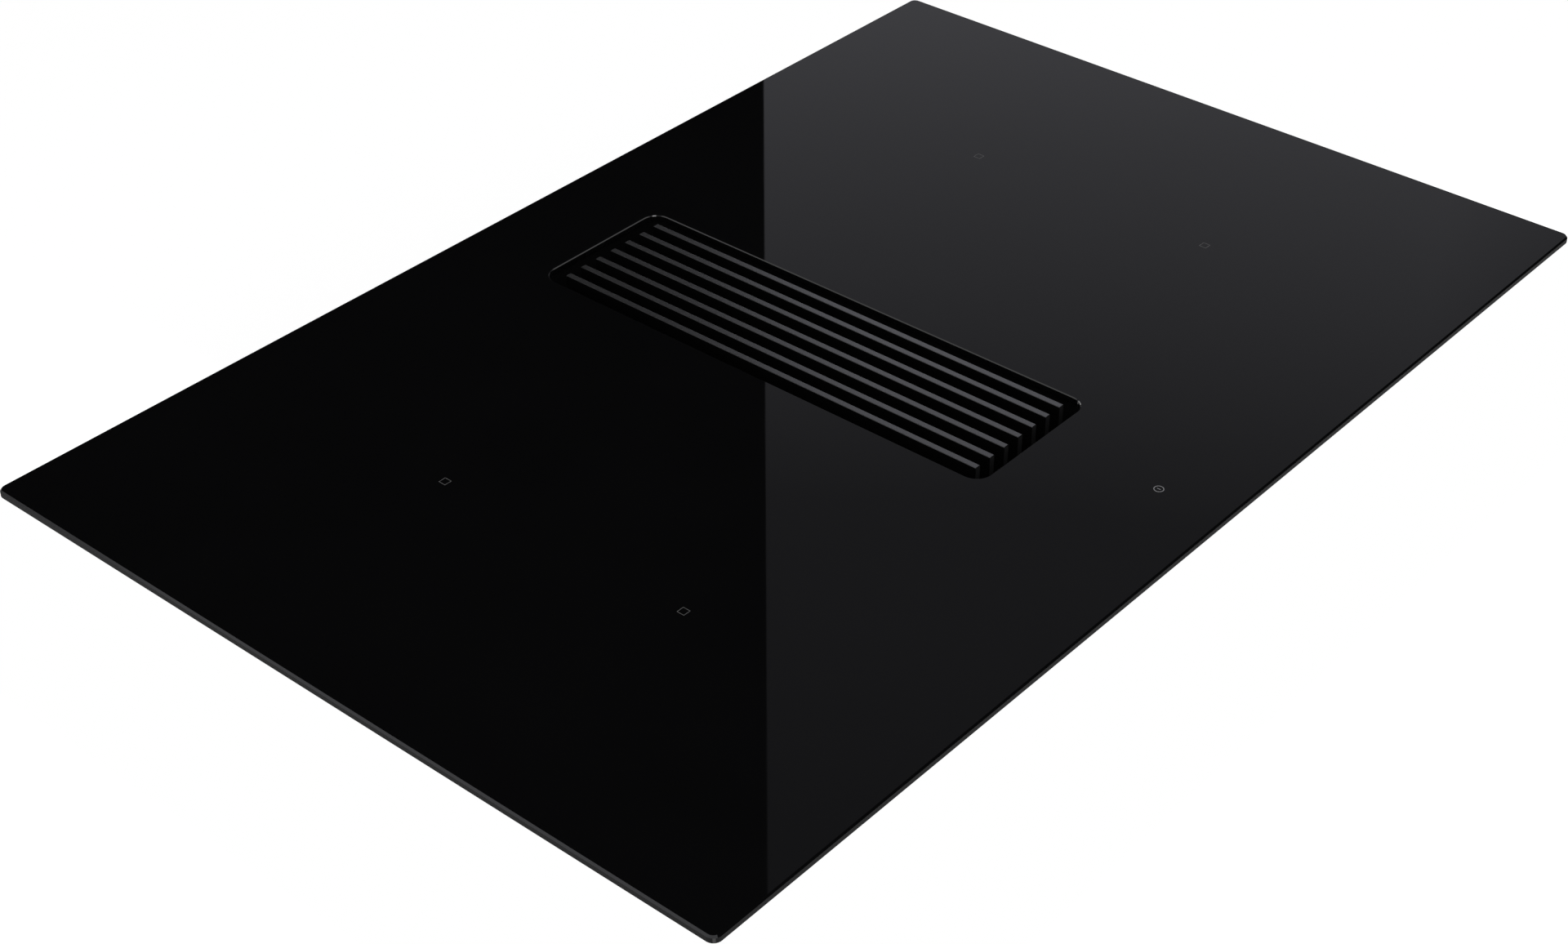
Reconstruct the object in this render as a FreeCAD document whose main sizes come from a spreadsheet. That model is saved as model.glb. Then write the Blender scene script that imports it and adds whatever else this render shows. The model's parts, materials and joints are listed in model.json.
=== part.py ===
"""Downdraft cooktop: an 800 mm induction hob with an extractor let into its glass.

The origin is the middle of the glass outline on the worktop's surface.
+X is to the user's right, +Y to the back and +Z up. Lengths are in millimetres.
"""

import FreeCAD, Part
import math
import operator
import os
import Sketcher

Vector = FreeCAD.Vector
Rotation = FreeCAD.Rotation

document = FreeCAD.newDocument("DowndraftCooktop")
sheet = document.addObject("Spreadsheet::Sheet", "Sizes")
parts = []

OPERATIONS = {"+": operator.add, "-": operator.sub, "*": operator.mul, "/": operator.truediv}

TURNS = {
    "X": Rotation(Vector(0, 1, 0), 90),
    "-X": Rotation(Vector(0, 1, 0), -90),
    "Y": Rotation(Vector(1, 0, 0), -90),
    "-Y": Rotation(Vector(1, 0, 0), 90),
    "Z": Rotation(),
    "-Z": Rotation(Vector(1, 0, 0), 180),
}


class Size:
    """A size: its expression on the sheet, and the number that it gives."""

    def __init__(self, text, value):
        self.text = text
        self.value = value

    def __add__(self, other):
        return combine(self, "+", other)

    def __radd__(self, other):
        return combine(other, "+", self)

    def __sub__(self, other):
        return combine(self, "-", other)

    def __rsub__(self, other):
        return combine(other, "-", self)

    def __mul__(self, other):
        return combine(self, "*", other)

    def __rmul__(self, other):
        return combine(other, "*", self)

    def __truediv__(self, other):
        return combine(self, "/", other)

    def __neg__(self):
        return combine(-1, "*", self)


def as_size(number):
    if isinstance(number, Size):
        return number
    return Size(f"({float(number):.9g})", float(number))


def combine(first, sign, second):
    first = as_size(first)
    second = as_size(second)
    value = OPERATIONS[sign](first.value, second.value)
    return Size(f"({first.text} {sign} {second.text})", value)


def sine(angle):
    """The sine of an angle that the sheet holds in degrees."""
    return Size(f"sin({angle.text})", math.sin(math.radians(angle.value)))


def size(name, number):
    """Puts one named number on the sheet."""
    row = size.rows = getattr(size, "rows", 0) + 1
    sheet.set(f"A{row}", name)
    sheet.set(f"B{row}", str(number))
    sheet.setAlias(f"B{row}", name)
    sheet.recompute()
    return Size(f"Sizes.{name}", float(sheet.get(name)))


ZERO = as_size(0)


def bind(feature, name, length):
    feature.setExpression(name, as_size(length).text)


def move(feature, x, y, z):
    for letter, length in zip("xyz", (x, y, z)):
        bind(feature, f"Placement.Base.{letter}", length)
    return feature


def keep(feature, name):
    """Names a finished sub-part."""
    feature.Label = name
    parts.append(feature)
    return feature


# Primitives and booleans


def box(length, width, height, x, y, z):
    """A block that is centred on x and y and stands on z."""
    block = document.addObject("Part::Box", "Block")
    bind(block, "Length", length)
    bind(block, "Width", width)
    bind(block, "Height", height)
    return move(block, x - as_size(length) / 2, y - as_size(width) / 2, z)


def rod(radius, length, x, y, z, along="Z"):
    """A cylinder that starts at the point and runs along the axis."""
    cylinder = document.addObject("Part::Cylinder", "Rod")
    bind(cylinder, "Radius", radius)
    bind(cylinder, "Height", length)
    cylinder.Placement = FreeCAD.Placement(Vector(), TURNS[along])
    return move(cylinder, x, y, z)


def group(pieces):
    """Separate solids that share one node."""
    compound = document.addObject("Part::Compound", "Group")
    compound.Links = pieces
    return compound


def fuse(pieces):
    union = document.addObject("Part::MultiFuse", "Union")
    union.Shapes = pieces
    return union


def cut(base, tools):
    difference = document.addObject("Part::Cut", "Cut")
    difference.Base = base
    difference.Tool = tools[0] if len(tools) == 1 else fuse(tools)
    return difference


def tube(outer, inner, length, x, y, z, along="Z"):
    return cut(rod(outer, length, x, y, z, along), [rod(inner, length, x, y, z, along)])


def screw(head_radius, head_height, shank_radius, shank_length, x, y, z, along):
    """A screw whose head is seated at the point and whose shank runs along the axis."""
    back = along[1:] if along.startswith("-") else "-" + along
    head = rod(head_radius, head_height, x, y, z, back)
    shank = rod(shank_radius, shank_length, x, y, z, along)
    return fuse([head, shank])


def shaped(name, shape, x, y, z):
    """A sub-part whose shape comes from the formulas below, placed on the sheet's sizes."""
    feature = document.addObject("Part::Feature", "Shaped")
    feature.Shape = shape
    move(feature, x, y, z)
    return keep(feature, name) if name else feature


# Sketches


def fix_point(sketch, curve, point, x, y):
    """Ties one point of a curve to the sketch's origin."""
    for kind, length in (("DistanceX", x), ("DistanceY", y)):
        rule = Sketcher.Constraint(kind, -1, 1, curve, point, as_size(length).value)
        index = sketch.addConstraint(rule)
        bind(sketch, f"Constraints[{index}]", length)


def polygon(sketch, corners):
    """A closed outline of straight edges through the corners, in order."""
    points = [Vector(as_size(x).value, as_size(y).value, 0) for x, y in corners]
    first = sketch.GeometryCount
    count = len(points)
    for index in range(count):
        sketch.addGeometry(Part.LineSegment(points[index], points[(index + 1) % count]), False)
    for index in range(count):
        after = first + (index + 1) % count
        sketch.addConstraint(Sketcher.Constraint("Coincident", first + index, 2, after, 1))
    for index, (x, y) in enumerate(corners):
        fix_point(sketch, first + index, 1, x, y)


def rectangle(sketch, width, height, x=ZERO, y=ZERO):
    left, right = x - as_size(width) / 2, x + as_size(width) / 2
    low, high = y - as_size(height) / 2, y + as_size(height) / 2
    polygon(sketch, [(left, low), (right, low), (right, high), (left, high)])


def circle(sketch, radius, x=ZERO, y=ZERO):
    centre = Vector(as_size(x).value, as_size(y).value, 0)
    curve = sketch.addGeometry(Part.Circle(centre, Vector(0, 0, 1), as_size(radius).value), False)
    fix_point(sketch, curve, 3, x, y)
    index = sketch.addConstraint(Sketcher.Constraint("Radius", curve, as_size(radius).value))
    bind(sketch, f"Constraints[{index}]", radius)


def rounded_rectangle(sketch, width, height, radius, x=ZERO, y=ZERO):
    """Four lines and four tangent arcs, tied by their sides and one radius."""
    sides = [y - height / 2, x + width / 2, y + height / 2, x - width / 2]
    low, right, high, left = [side.value for side in sides]
    r = radius.value
    corners = [
        (Vector(left + r, low, 0), Vector(right - r, low, 0), Vector(right - r, low + r, 0)),
        (Vector(right, low + r, 0), Vector(right, high - r, 0), Vector(right - r, high - r, 0)),
        (Vector(right - r, high, 0), Vector(left + r, high, 0), Vector(left + r, high - r, 0)),
        (Vector(left, high - r, 0), Vector(left, low + r, 0), Vector(left + r, low + r, 0)),
    ]
    first = sketch.GeometryCount
    for index, (start, end, centre) in enumerate(corners):
        sketch.addGeometry(Part.LineSegment(start, end), False)
        bend = Part.Circle(centre, Vector(0, 0, 1), r)
        from_angle = math.radians(90 * index - 90)
        sketch.addGeometry(Part.ArcOfCircle(bend, from_angle, from_angle + math.pi / 2), False)
    for index in range(4):
        line = first + 2 * index
        after = first + (2 * index + 2) % 8
        sketch.addConstraint(Sketcher.Constraint("Tangent", line, 2, line + 1, 1))
        sketch.addConstraint(Sketcher.Constraint("Tangent", line + 1, 2, after, 1))
        level = "Horizontal" if index % 2 == 0 else "Vertical"
        sketch.addConstraint(Sketcher.Constraint(level, line))
        if index:
            sketch.addConstraint(Sketcher.Constraint("Equal", first + 1, line + 1))
    index = sketch.addConstraint(Sketcher.Constraint("Radius", first + 1, r))
    bind(sketch, f"Constraints[{index}]", radius)
    for index, side in enumerate(sides):
        kind = "DistanceY" if index % 2 == 0 else "DistanceX"
        rule = Sketcher.Constraint(kind, -1, 1, first + 2 * index, 1, side.value)
        place = sketch.addConstraint(rule)
        bind(sketch, f"Constraints[{place}]", side)


class Body:
    """A body made by sketches on its own origin planes and the features on them."""

    def __init__(self, x=ZERO, y=ZERO, z=ZERO):
        self.body = document.addObject("PartDesign::Body", "Body")
        move(self.body, x, y, z)

    def origin(self, role):
        return next(item for item in self.body.Origin.OriginFeatures if item.Role == role)

    def sketch(self, plane="XY_Plane", height=ZERO):
        drawing = self.body.newObject("Sketcher::SketchObject", "Sketch")
        drawing.AttachmentSupport = [(self.origin(plane), "")]
        drawing.MapMode = "FlatFace"
        bind(drawing, "AttachmentOffset.Base.z", height)
        return drawing

    def feature(self, kind, drawing, **settings):
        made = self.body.newObject(f"PartDesign::{kind}", kind)
        made.Profile = drawing
        for name, setting in settings.items():
            if isinstance(setting, Size):
                bind(made, name, setting)
            else:
                setattr(made, name, setting)
        return made

    def pad(self, drawing, length, reverse=False):
        return self.feature("Pad", drawing, Length=length, Reversed=reverse)

    def pocket(self, drawing, length, reverse=False):
        return self.feature("Pocket", drawing, Length=length, Reversed=reverse)

    def revolve(self, drawing, axis="H_Axis"):
        return self.feature("Revolution", drawing, ReferenceAxis=(drawing, [axis]), Angle=360)

    def loft(self, kind, drawings):
        made = self.feature(kind, drawings[0])
        made.Sections = drawings[1:]
        made.Ruled = True
        return made

    def row(self, feature, axis, step, count):
        """Copies a feature in a straight row."""
        pattern = self.body.newObject("PartDesign::LinearPattern", "Row")
        pattern.Originals = [feature]
        pattern.Direction = (self.origin(axis), [""])
        pattern.Mode = "Spacing"
        bind(pattern, "Offset", step)
        bind(pattern, "Occurrences", count)
        self.body.Tip = pattern
        return pattern

    def round(self, feature, axis, count):
        """Copies a feature all round an axis."""
        pattern = self.body.newObject("PartDesign::PolarPattern", "Round")
        pattern.Originals = [feature]
        pattern.Axis = (self.origin(axis), [""])
        pattern.Angle = 360
        bind(pattern, "Occurrences", count)
        self.body.Tip = pattern
        return pattern

    def chamfer(self, test, length):
        """Breaks the edges of the body so far that pass the test."""
        base = self.body.Tip
        document.recompute()
        edges = base.Shape.Edges
        names = [f"Edge{index + 1}" for index, edge in enumerate(edges) if test(edge)]
        made = self.body.newObject("PartDesign::Chamfer", "Chamfer")
        made.Base = (base, names)
        bind(made, "Size", length)
        return made


def ring(outer, inner, thickness, x, y, z):
    """A flat ring: outer and inner are (width, depth, corner radius)."""
    body = Body(x, y, z)
    outline = body.sketch()
    rounded_rectangle(outline, *outer)
    rounded_rectangle(outline, *inner)
    body.pad(outline, thickness)
    return body


def prism(plane, corners, length, x, y, z):
    """A straight-edged outline drawn on a plane and padded along its normal."""
    body = Body(x, y, z)
    outline = body.sketch(plane)
    polygon(outline, corners)
    body.pad(outline, length, plane == "XZ_Plane")
    return body


overrun = size("cut_overrun", 1)
rest_gap = size("rest_gap", 0.3)
running_gap = size("running_gap", 0.05)
match_tolerance = size("match_tolerance", 0.001)

# Glass plate and the well in it

glass_width = size("glass_width", 800)
glass_depth = size("glass_depth", 520)
glass_thickness = size("glass_thickness", 4)
glass_corner = size("glass_corner", 5)
glass_bevel = size("glass_bevel", 1)
well_width = size("well_width", 100.8)
well_front_margin = size("well_front_margin", 119.5)
well_back_margin = size("well_back_margin", 68.1)
well_corner = size("well_corner", 10)
well_bevel = size("well_bevel", 0.5)
tape_thickness = size("tape_thickness", 2)
tape_width = size("tape_width", 9)
tape_inset = size("tape_inset", 4)

well_length = glass_depth - well_front_margin - well_back_margin
well_y = (well_front_margin - well_back_margin) / 2
glass_bottom = tape_thickness
glass_top = glass_bottom + glass_thickness


def make_glass_plate():
    body = Body(ZERO, ZERO, glass_bottom)
    outline = body.sketch()
    rounded_rectangle(outline, glass_width, glass_depth, glass_corner)
    rounded_rectangle(outline, well_width, well_length, well_corner, ZERO, well_y)
    body.pad(outline, glass_thickness)
    edge_of_well = (well_width / 2 + well_bevel).value
    end_of_well = (well_length / 2 + well_bevel).value
    top = glass_thickness.value

    def on_top(edge):
        return all(abs(vertex.Z - top) < match_tolerance.value for vertex in edge.Vertexes)

    def of_well(edge):
        centre = edge.CenterOfMass
        return abs(centre.x) < edge_of_well and abs(centre.y - well_y.value) < end_of_well

    body.chamfer(lambda edge: on_top(edge) and not of_well(edge), glass_bevel)
    body.chamfer(lambda edge: on_top(edge) and of_well(edge), well_bevel)
    keep(body.body, "glass_plate")


def make_sealing_tape():
    outer_width = glass_width - 2 * tape_inset
    outer_depth = glass_depth - 2 * tape_inset
    inner = (outer_width - 2 * tape_width, outer_depth - 2 * tape_width, glass_corner)
    tape = ring((outer_width, outer_depth, glass_corner), inner, tape_thickness, ZERO, ZERO, ZERO)
    keep(tape.body, "sealing_tape")


# Carrier frame and tray

tray_side_margin = size("tray_side_margin", 30)
tray_end_margin = size("tray_end_margin", 20)
tray_height = size("tray_height", 48)
tray_sheet = size("tray_sheet", 1)
tray_corner = size("tray_corner", 6)
frame_sheet = size("frame_sheet", 1.2)
frame_flange = size("frame_flange", 14)
frame_web = size("frame_web", 12)
adhesive_thickness = size("adhesive_thickness", 1.2)
adhesive_width = size("adhesive_width", 8)

tray_width = glass_width - 2 * tray_side_margin
tray_depth = glass_depth - 2 * tray_end_margin
frame_width = tray_width + 2 * frame_sheet
frame_depth = tray_depth + 2 * frame_sheet
frame_corner = tray_corner + frame_sheet
frame_top = glass_bottom - adhesive_thickness
tray_top = frame_top - frame_sheet
tray_bottom = tray_top - tray_height
tray_floor = tray_bottom + tray_sheet
tray_inner_width = tray_width - 2 * tray_sheet
tray_inner_depth = tray_depth - 2 * tray_sheet
tray_inner_corner = tray_corner - tray_sheet

tray_screw_radius = size("tray_screw_radius", 1.9)
tray_screw_head = size("tray_screw_head", 3.6)
tray_screw_head_height = size("tray_screw_head_height", 1.6)
tray_screw_length = size("tray_screw_length", 6)
tray_screw_drop = size("tray_screw_drop", 7)
side_screw_inset = size("side_screw_inset", 50)
end_screw_inset = size("end_screw_inset", 70)


def make_adhesive():
    inset = frame_flange - adhesive_width
    outer = (frame_width - inset, frame_depth - inset, frame_corner)
    inner = (outer[0] - 2 * adhesive_width, outer[1] - 2 * adhesive_width, frame_corner)
    bead = ring(outer, inner, adhesive_thickness, ZERO, ZERO, frame_top)
    keep(bead.body, "glass_adhesive")


def wall_places():
    """The tray screws: the point on the frame's outside and the way that each one goes in."""
    height = tray_top - tray_screw_drop
    side_screw_y = tray_depth / 2 - side_screw_inset
    end_screw_x = tray_width / 2 - end_screw_inset
    places = []
    for side in (-1, 1):
        for end in (-1, 1):
            places.append((side * frame_width / 2, end * side_screw_y, height, "-X" if side > 0 else "X"))
            places.append((side * end_screw_x, end * frame_depth / 2, height, "-Y" if end > 0 else "Y"))
        places.append((ZERO, side * frame_depth / 2, height, "-Y" if side > 0 else "Y"))
    return places


def wall_holes():
    return [rod(tray_screw_radius, tray_screw_length, *place) for place in wall_places()]


def make_carrier_frame():
    body = Body(ZERO, ZERO, tray_top)
    flange = body.sketch()
    rounded_rectangle(flange, frame_width, frame_depth, frame_corner)
    inner_width = frame_width - 2 * frame_flange
    inner_depth = frame_depth - 2 * frame_flange
    rounded_rectangle(flange, inner_width, inner_depth, frame_corner)
    body.pad(flange, frame_sheet)
    web = body.sketch()
    rounded_rectangle(web, frame_width, frame_depth, frame_corner)
    rounded_rectangle(web, tray_width, tray_depth, tray_corner)
    body.pad(web, frame_web, True)
    keep(cut(body.body, wall_holes()), "carrier_frame")


def make_tray_screws():
    screws = [
        screw(tray_screw_head, tray_screw_head_height, tray_screw_radius, tray_screw_length, *place)
        for place in wall_places()
    ]
    keep(group(screws), "tray_screws")


# Inlet shaft: collar through the tray, air box under it

gasket_thickness = size("collar_gasket_thickness", 1.5)
well_setback = size("well_setback", 1)
collar_wall = size("collar_wall", 2.2)
collar_flange = size("collar_flange", 14)
collar_flange_thickness = size("collar_flange_thickness", 2)
collar_foot = size("collar_foot", 14)
collar_fit = size("collar_fit", 0.3)
box_gasket_thickness = size("box_gasket_thickness", 2)
box_flange_thickness = size("box_flange_thickness", 3)
box_bottom = size("box_bottom_drop", -190)
box_floor_thickness = size("box_floor_thickness", 3)
box_screw_radius = size("box_screw_radius", 2)
box_screw_head = size("box_screw_head", 3.8)
box_screw_head_height = size("box_screw_head_height", 2.5)
box_screw_x_share = size("box_screw_x_share", 0.5)
box_screw_count = size("box_screws_per_side", 4)

shaft_width = well_width + 2 * well_setback
shaft_length = well_length + 2 * well_setback
shaft_corner = well_corner + well_setback
collar_width = shaft_width + 2 * collar_wall
collar_length = shaft_length + 2 * collar_wall
collar_corner = shaft_corner + collar_wall
collar_top = glass_bottom - gasket_thickness
box_top = tray_bottom - box_gasket_thickness
box_floor = box_bottom + box_floor_thickness
foot_width = collar_width + 2 * collar_foot
foot_length = collar_length + 2 * collar_foot
foot_top = tray_floor + collar_flange_thickness
shaft_hollow = (shaft_width, shaft_length, shaft_corner)

# Grille

slat_count = size("slat_count", 7)
slat_pitch = size("slat_pitch", 13)
slat_width = size("slat_width", 3.9)
slat_end_gap = size("slat_end_gap", 10.3)
slat_height = size("slat_height", 24)
slat_break = size("slat_edge_break", 0.25)
slat_offset = size("slat_centre_offset", 0.6)
slat_stand = size("slat_stand_over_glass", 0.05)
bar_width = size("grille_bar_width", 5)
bar_height = size("grille_bar_height", 6)
bar_inset = size("grille_bar_inset", 22)
bar_clearance = size("grille_bar_clearance", 1.4)
bar_count = size("grille_bar_count", 3)
pad_length = size("grille_pad_length", 3.4)
pad_width = size("grille_pad_width", 9)
pad_height = size("grille_pad_height", 1.5)
ledge_depth = size("ledge_depth", 5)
ledge_width = size("ledge_width", 14)
ledge_height = size("ledge_height", 7)

slat_y = well_y - slat_offset
slat_length = well_length - 2 * slat_end_gap
grille_bottom = glass_top + slat_stand - slat_height
bar_y = slat_length / 2 - bar_inset
bar_reach = well_width / 2 - bar_clearance
ledge_top = grille_bottom - pad_height - rest_gap


def make_grille():
    def on_top(edge):
        return all(abs(vertex.Z - slat_height.value) < match_tolerance.value for vertex in edge.Vertexes)

    pieces = []
    for index in range(int(slat_count.value)):
        slat = Body((index - (slat_count - 1) / 2) * slat_pitch, slat_y, grille_bottom)
        blank = slat.sketch()
        rectangle(blank, slat_width, slat_length)
        slat.pad(blank, slat_height)
        slat.chamfer(on_top, slat_break)
        pieces.append(slat.body)
    for y in bar_places():
        pieces.append(box(2 * bar_reach, bar_width, bar_height, ZERO, y, grille_bottom))
    keep(fuse(pieces), "grille")


def bar_places():
    step = 2 * bar_y / (bar_count - 1)
    return [slat_y - bar_y + index * step for index in range(int(bar_count.value))]


def end_places():
    """The two end bars' sides, where the grille is carried."""
    return [(side, y) for side in (-1, 1) for y in (slat_y - bar_y, slat_y + bar_y)]


def make_grille_pads():
    z = grille_bottom - pad_height
    reach = bar_reach - pad_length / 2
    pads = [box(pad_length, pad_width, pad_height, side * reach, y, z) for side, y in end_places()]
    keep(group(pads), "grille_pads")


def make_collar_gasket():
    outer = (shaft_width + 2 * collar_flange, shaft_length + 2 * collar_flange, collar_corner)
    gasket = ring(outer, shaft_hollow, gasket_thickness, ZERO, well_y, collar_top)
    keep(gasket.body, "collar_gasket")


def make_inlet_collar():
    body = Body(ZERO, well_y, tray_bottom)
    tube_outline = body.sketch()
    rounded_rectangle(tube_outline, collar_width, collar_length, collar_corner)
    rounded_rectangle(tube_outline, *shaft_hollow)
    body.pad(tube_outline, collar_top - tray_bottom)
    flange = body.sketch("XY_Plane", collar_top - collar_flange_thickness - tray_bottom)
    flange_width = shaft_width + 2 * collar_flange
    flange_length = shaft_length + 2 * collar_flange
    rounded_rectangle(flange, flange_width, flange_length, collar_corner)
    rounded_rectangle(flange, *shaft_hollow)
    body.pad(flange, collar_flange_thickness)
    foot = body.sketch("XY_Plane", tray_sheet)
    rounded_rectangle(foot, foot_width, foot_length, collar_corner)
    rounded_rectangle(foot, *shaft_hollow)
    body.pad(foot, collar_flange_thickness)
    ledge_x = shaft_width / 2 - ledge_depth / 2 + overrun / 2
    ledges = [
        box(ledge_depth + overrun, ledge_width, ledge_height, side * ledge_x, y, ledge_top - ledge_height)
        for side, y in end_places()
    ]
    keep(cut(fuse([body.body] + ledges), box_screw_holes()), "inlet_collar")


def box_screw_places():
    x = collar_width / 2 + collar_foot * box_screw_x_share
    span = collar_length - 2 * collar_corner
    step = span / (box_screw_count - 1)
    return [
        (side * x, well_y - span / 2 + index * step)
        for side in (-1, 1)
        for index in range(int(box_screw_count.value))
    ]


def box_screw_holes():
    bottom = box_top - box_flange_thickness
    return [rod(box_screw_radius, foot_top - bottom, x, y, bottom) for x, y in box_screw_places()]


def make_box_gasket():
    outer = (foot_width, foot_length, collar_corner)
    gasket = ring(outer, shaft_hollow, box_gasket_thickness, ZERO, well_y, box_top)
    keep(cut(gasket.body, box_screw_holes()), "box_gasket")


def make_box_screws():
    length = foot_top - box_top + box_flange_thickness
    screws = [
        screw(box_screw_head, box_screw_head_height, box_screw_radius, length, x, y, foot_top, "-Z")
        for x, y in box_screw_places()
    ]
    keep(group(screws), "box_screws")


# Grease filter and drip tray

filter_side_gap = size("filter_side_gap", 6.4)
filter_end_gap = size("filter_end_gap", 3.2)
filter_corner = size("filter_corner", 6)
filter_rim = size("filter_rim_width", 4)
filter_rim_height = size("filter_rim_height", 5)
filter_top_drop = size("filter_top_drop", 4)
filter_height = size("filter_height", 78)
filter_channel = size("filter_channel_width", 26)
filter_channel_height = size("filter_channel_height", 6)
filter_sheet = size("filter_sheet", 1.2)
filter_handle_width = size("filter_handle_width", 9)
mesh_thickness = size("mesh_thickness", 1.6)
window_width = size("mesh_window_width", 13)
window_height = size("mesh_window_height", 14)
window_margin = size("mesh_window_margin", 20)
window_count = size("mesh_window_count", 15)
window_rows = size("mesh_window_rows", 3)
window_row_pitch = size("mesh_window_row_pitch", 19)
end_ledge_depth = size("end_ledge_depth", 8)
end_ledge_height = size("end_ledge_height", 5)
end_ledge_width = size("end_ledge_width", 60)
drip_side_gap = size("drip_tray_side_gap", 6.4)
drip_end_gap = size("drip_tray_end_gap", 12.2)
drip_height = size("drip_tray_height", 20)
drip_wall = size("drip_tray_wall", 1.5)
drip_corner = size("drip_tray_corner", 8)
grip_width = size("drip_grip_width", 26)
grip_height = size("drip_grip_height", 12)

filter_width = shaft_width - 2 * filter_side_gap
filter_length = shaft_length - 2 * filter_end_gap
drip_width = shaft_width - 2 * drip_side_gap
drip_length = shaft_length - 2 * drip_end_gap
window_pitch = (filter_length - 2 * filter_rim - window_margin) / window_count
filter_top = grille_bottom - filter_top_drop
filter_bottom = filter_top - filter_height
rim_bottom = filter_top - filter_rim_height
channel_top = filter_bottom + filter_channel_height
drip_bottom = box_floor + rest_gap


def panel_corners(side):
    """One mesh panel's section, from the channel up to the rim."""
    low = side * filter_channel / 2
    high = side * (filter_width / 2 - filter_rim / 2)
    across = side * mesh_thickness
    bottom = filter_channel_height
    top = filter_height - filter_rim_height
    return [(low, bottom), (high, top), (high - across, top), (low - across, bottom)]


def make_filter_frame():
    rim_inner = (filter_width - 2 * filter_rim, filter_length - 2 * filter_rim, filter_corner)
    rim = ring((filter_width, filter_length, filter_corner), rim_inner,
               filter_rim_height, ZERO, well_y, rim_bottom)
    half_channel = filter_channel / 2
    floor = filter_sheet
    section = [
        (-half_channel, ZERO), (half_channel, ZERO), (half_channel, filter_channel_height),
        (half_channel - floor, filter_channel_height), (half_channel - floor, floor),
        (floor - half_channel, floor), (floor - half_channel, filter_channel_height),
        (-half_channel, filter_channel_height),
    ]
    channel = prism("XZ_Plane", section, filter_length, ZERO, well_y - filter_length / 2, filter_bottom)
    pieces = [rim.body, channel.body]
    top_half = filter_width / 2 - filter_rim / 2
    top = filter_height - filter_rim_height / 2
    for start in (-filter_length / 2 + filter_rim - filter_sheet, filter_length / 2 - filter_rim):
        end = [(-half_channel, ZERO), (half_channel, ZERO), (top_half, top), (-top_half, top)]
        pieces.append(prism("XZ_Plane", end, filter_sheet, ZERO, well_y + start, filter_bottom).body)
    pieces.append(box(filter_width - filter_rim, filter_handle_width, filter_sheet * 2, ZERO, well_y,
                      filter_top - filter_sheet * 2))
    keep(fuse(pieces), "filter_frame")


def make_filter_mesh():
    length = filter_length - 2 * filter_rim
    span = filter_height - filter_rim_height
    first_row = filter_bottom + (span - (window_rows - 1) * window_row_pitch - window_height) / 2
    first = well_y - (window_count - 1) * window_pitch / 2
    windows = [
        box(filter_width, window_width, window_height, ZERO, first + column * window_pitch,
            first_row + level * window_row_pitch)
        for column in range(int(window_count.value))
        for level in range(int(window_rows.value))
    ]
    panels = [
        prism("XZ_Plane", panel_corners(side), length, ZERO, well_y - length / 2, filter_bottom).body
        for side in (-1, 1)
    ]
    keep(cut(group(panels), windows), "filter_mesh")


def make_drip_tray():
    body = Body(ZERO, well_y, drip_bottom)
    outline = body.sketch()
    rounded_rectangle(outline, drip_width, drip_length, drip_corner)
    body.pad(outline, drip_height)
    hollow = body.sketch("XY_Plane", drip_height)
    inner_corner = drip_corner - drip_wall
    rounded_rectangle(hollow, drip_width - 2 * drip_wall, drip_length - 2 * drip_wall, inner_corner)
    body.pocket(hollow, drip_height - drip_wall)
    grip = box(grip_width, drip_wall, drip_height + grip_height, ZERO, well_y, drip_bottom)
    keep(fuse([body.body, grip]), "drip_tray")


# Fan: its axis runs along X to the right of the air box

fan_offset = size("fan_axis_offset", 70.7)
fan_z = size("fan_axis_z", -118.5)
fan_gasket_thickness = size("fan_gasket_thickness", 3)
fan_gasket_outer = size("fan_gasket_outer_radius", 54)
inlet_hole = size("inlet_hole_radius", 46)
scroll_wall = size("scroll_wall", 2.2)
scroll_inner_width = size("scroll_inner_width", 86)
scroll_radius = size("scroll_start_radius", 57.5)
scroll_step = size("scroll_step", 8)
scroll_outlet = size("scroll_outlet_reach", 61)
tongue_angle = size("tongue_angle", 35)
cover_thickness = size("scroll_cover_thickness", 2.4)
lug_radius = size("scroll_lug_radius", 4.5)
lug_hole = size("scroll_lug_hole_radius", 1.6)
lug_angles = (45, 135, 200, 250)
lug_depth = size("scroll_screw_depth", 14)
lug_head = size("scroll_screw_head_radius", 3.2)
lug_head_height = size("scroll_screw_head_height", 2.2)
outlet_lug_y = size("outlet_lug_y", 55)
outlet_lug_z = size("outlet_lug_z", -20)
throat_outer = size("inlet_throat_radius", 42)
throat_wall = size("inlet_throat_wall", 1.2)
throat_reach = size("inlet_throat_reach", 4)
inlet_flange = size("inlet_flange_radius", 51)

fan_y = well_y - fan_offset
box_side = collar_width / 2
scroll_left = box_side + fan_gasket_thickness
cavity_left = scroll_left + scroll_wall
cavity_right = cavity_left + scroll_inner_width
cover_right = cavity_right + cover_thickness


def arc_points(centre, radius, first, last):
    """Start, middle and end of an arc in the fan's plane, angles in degrees from +Y."""
    points = []
    for angle in (first, (first + last) / 2, last):
        turn = math.radians(angle)
        points.append(Vector(0, centre[0] + radius * math.cos(turn), centre[1] + radius * math.sin(turn)))
    return points


def scroll_centres():
    half = scroll_step.value / 2
    return [(-half, half), (-half, -half), (half, -half)]


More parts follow.
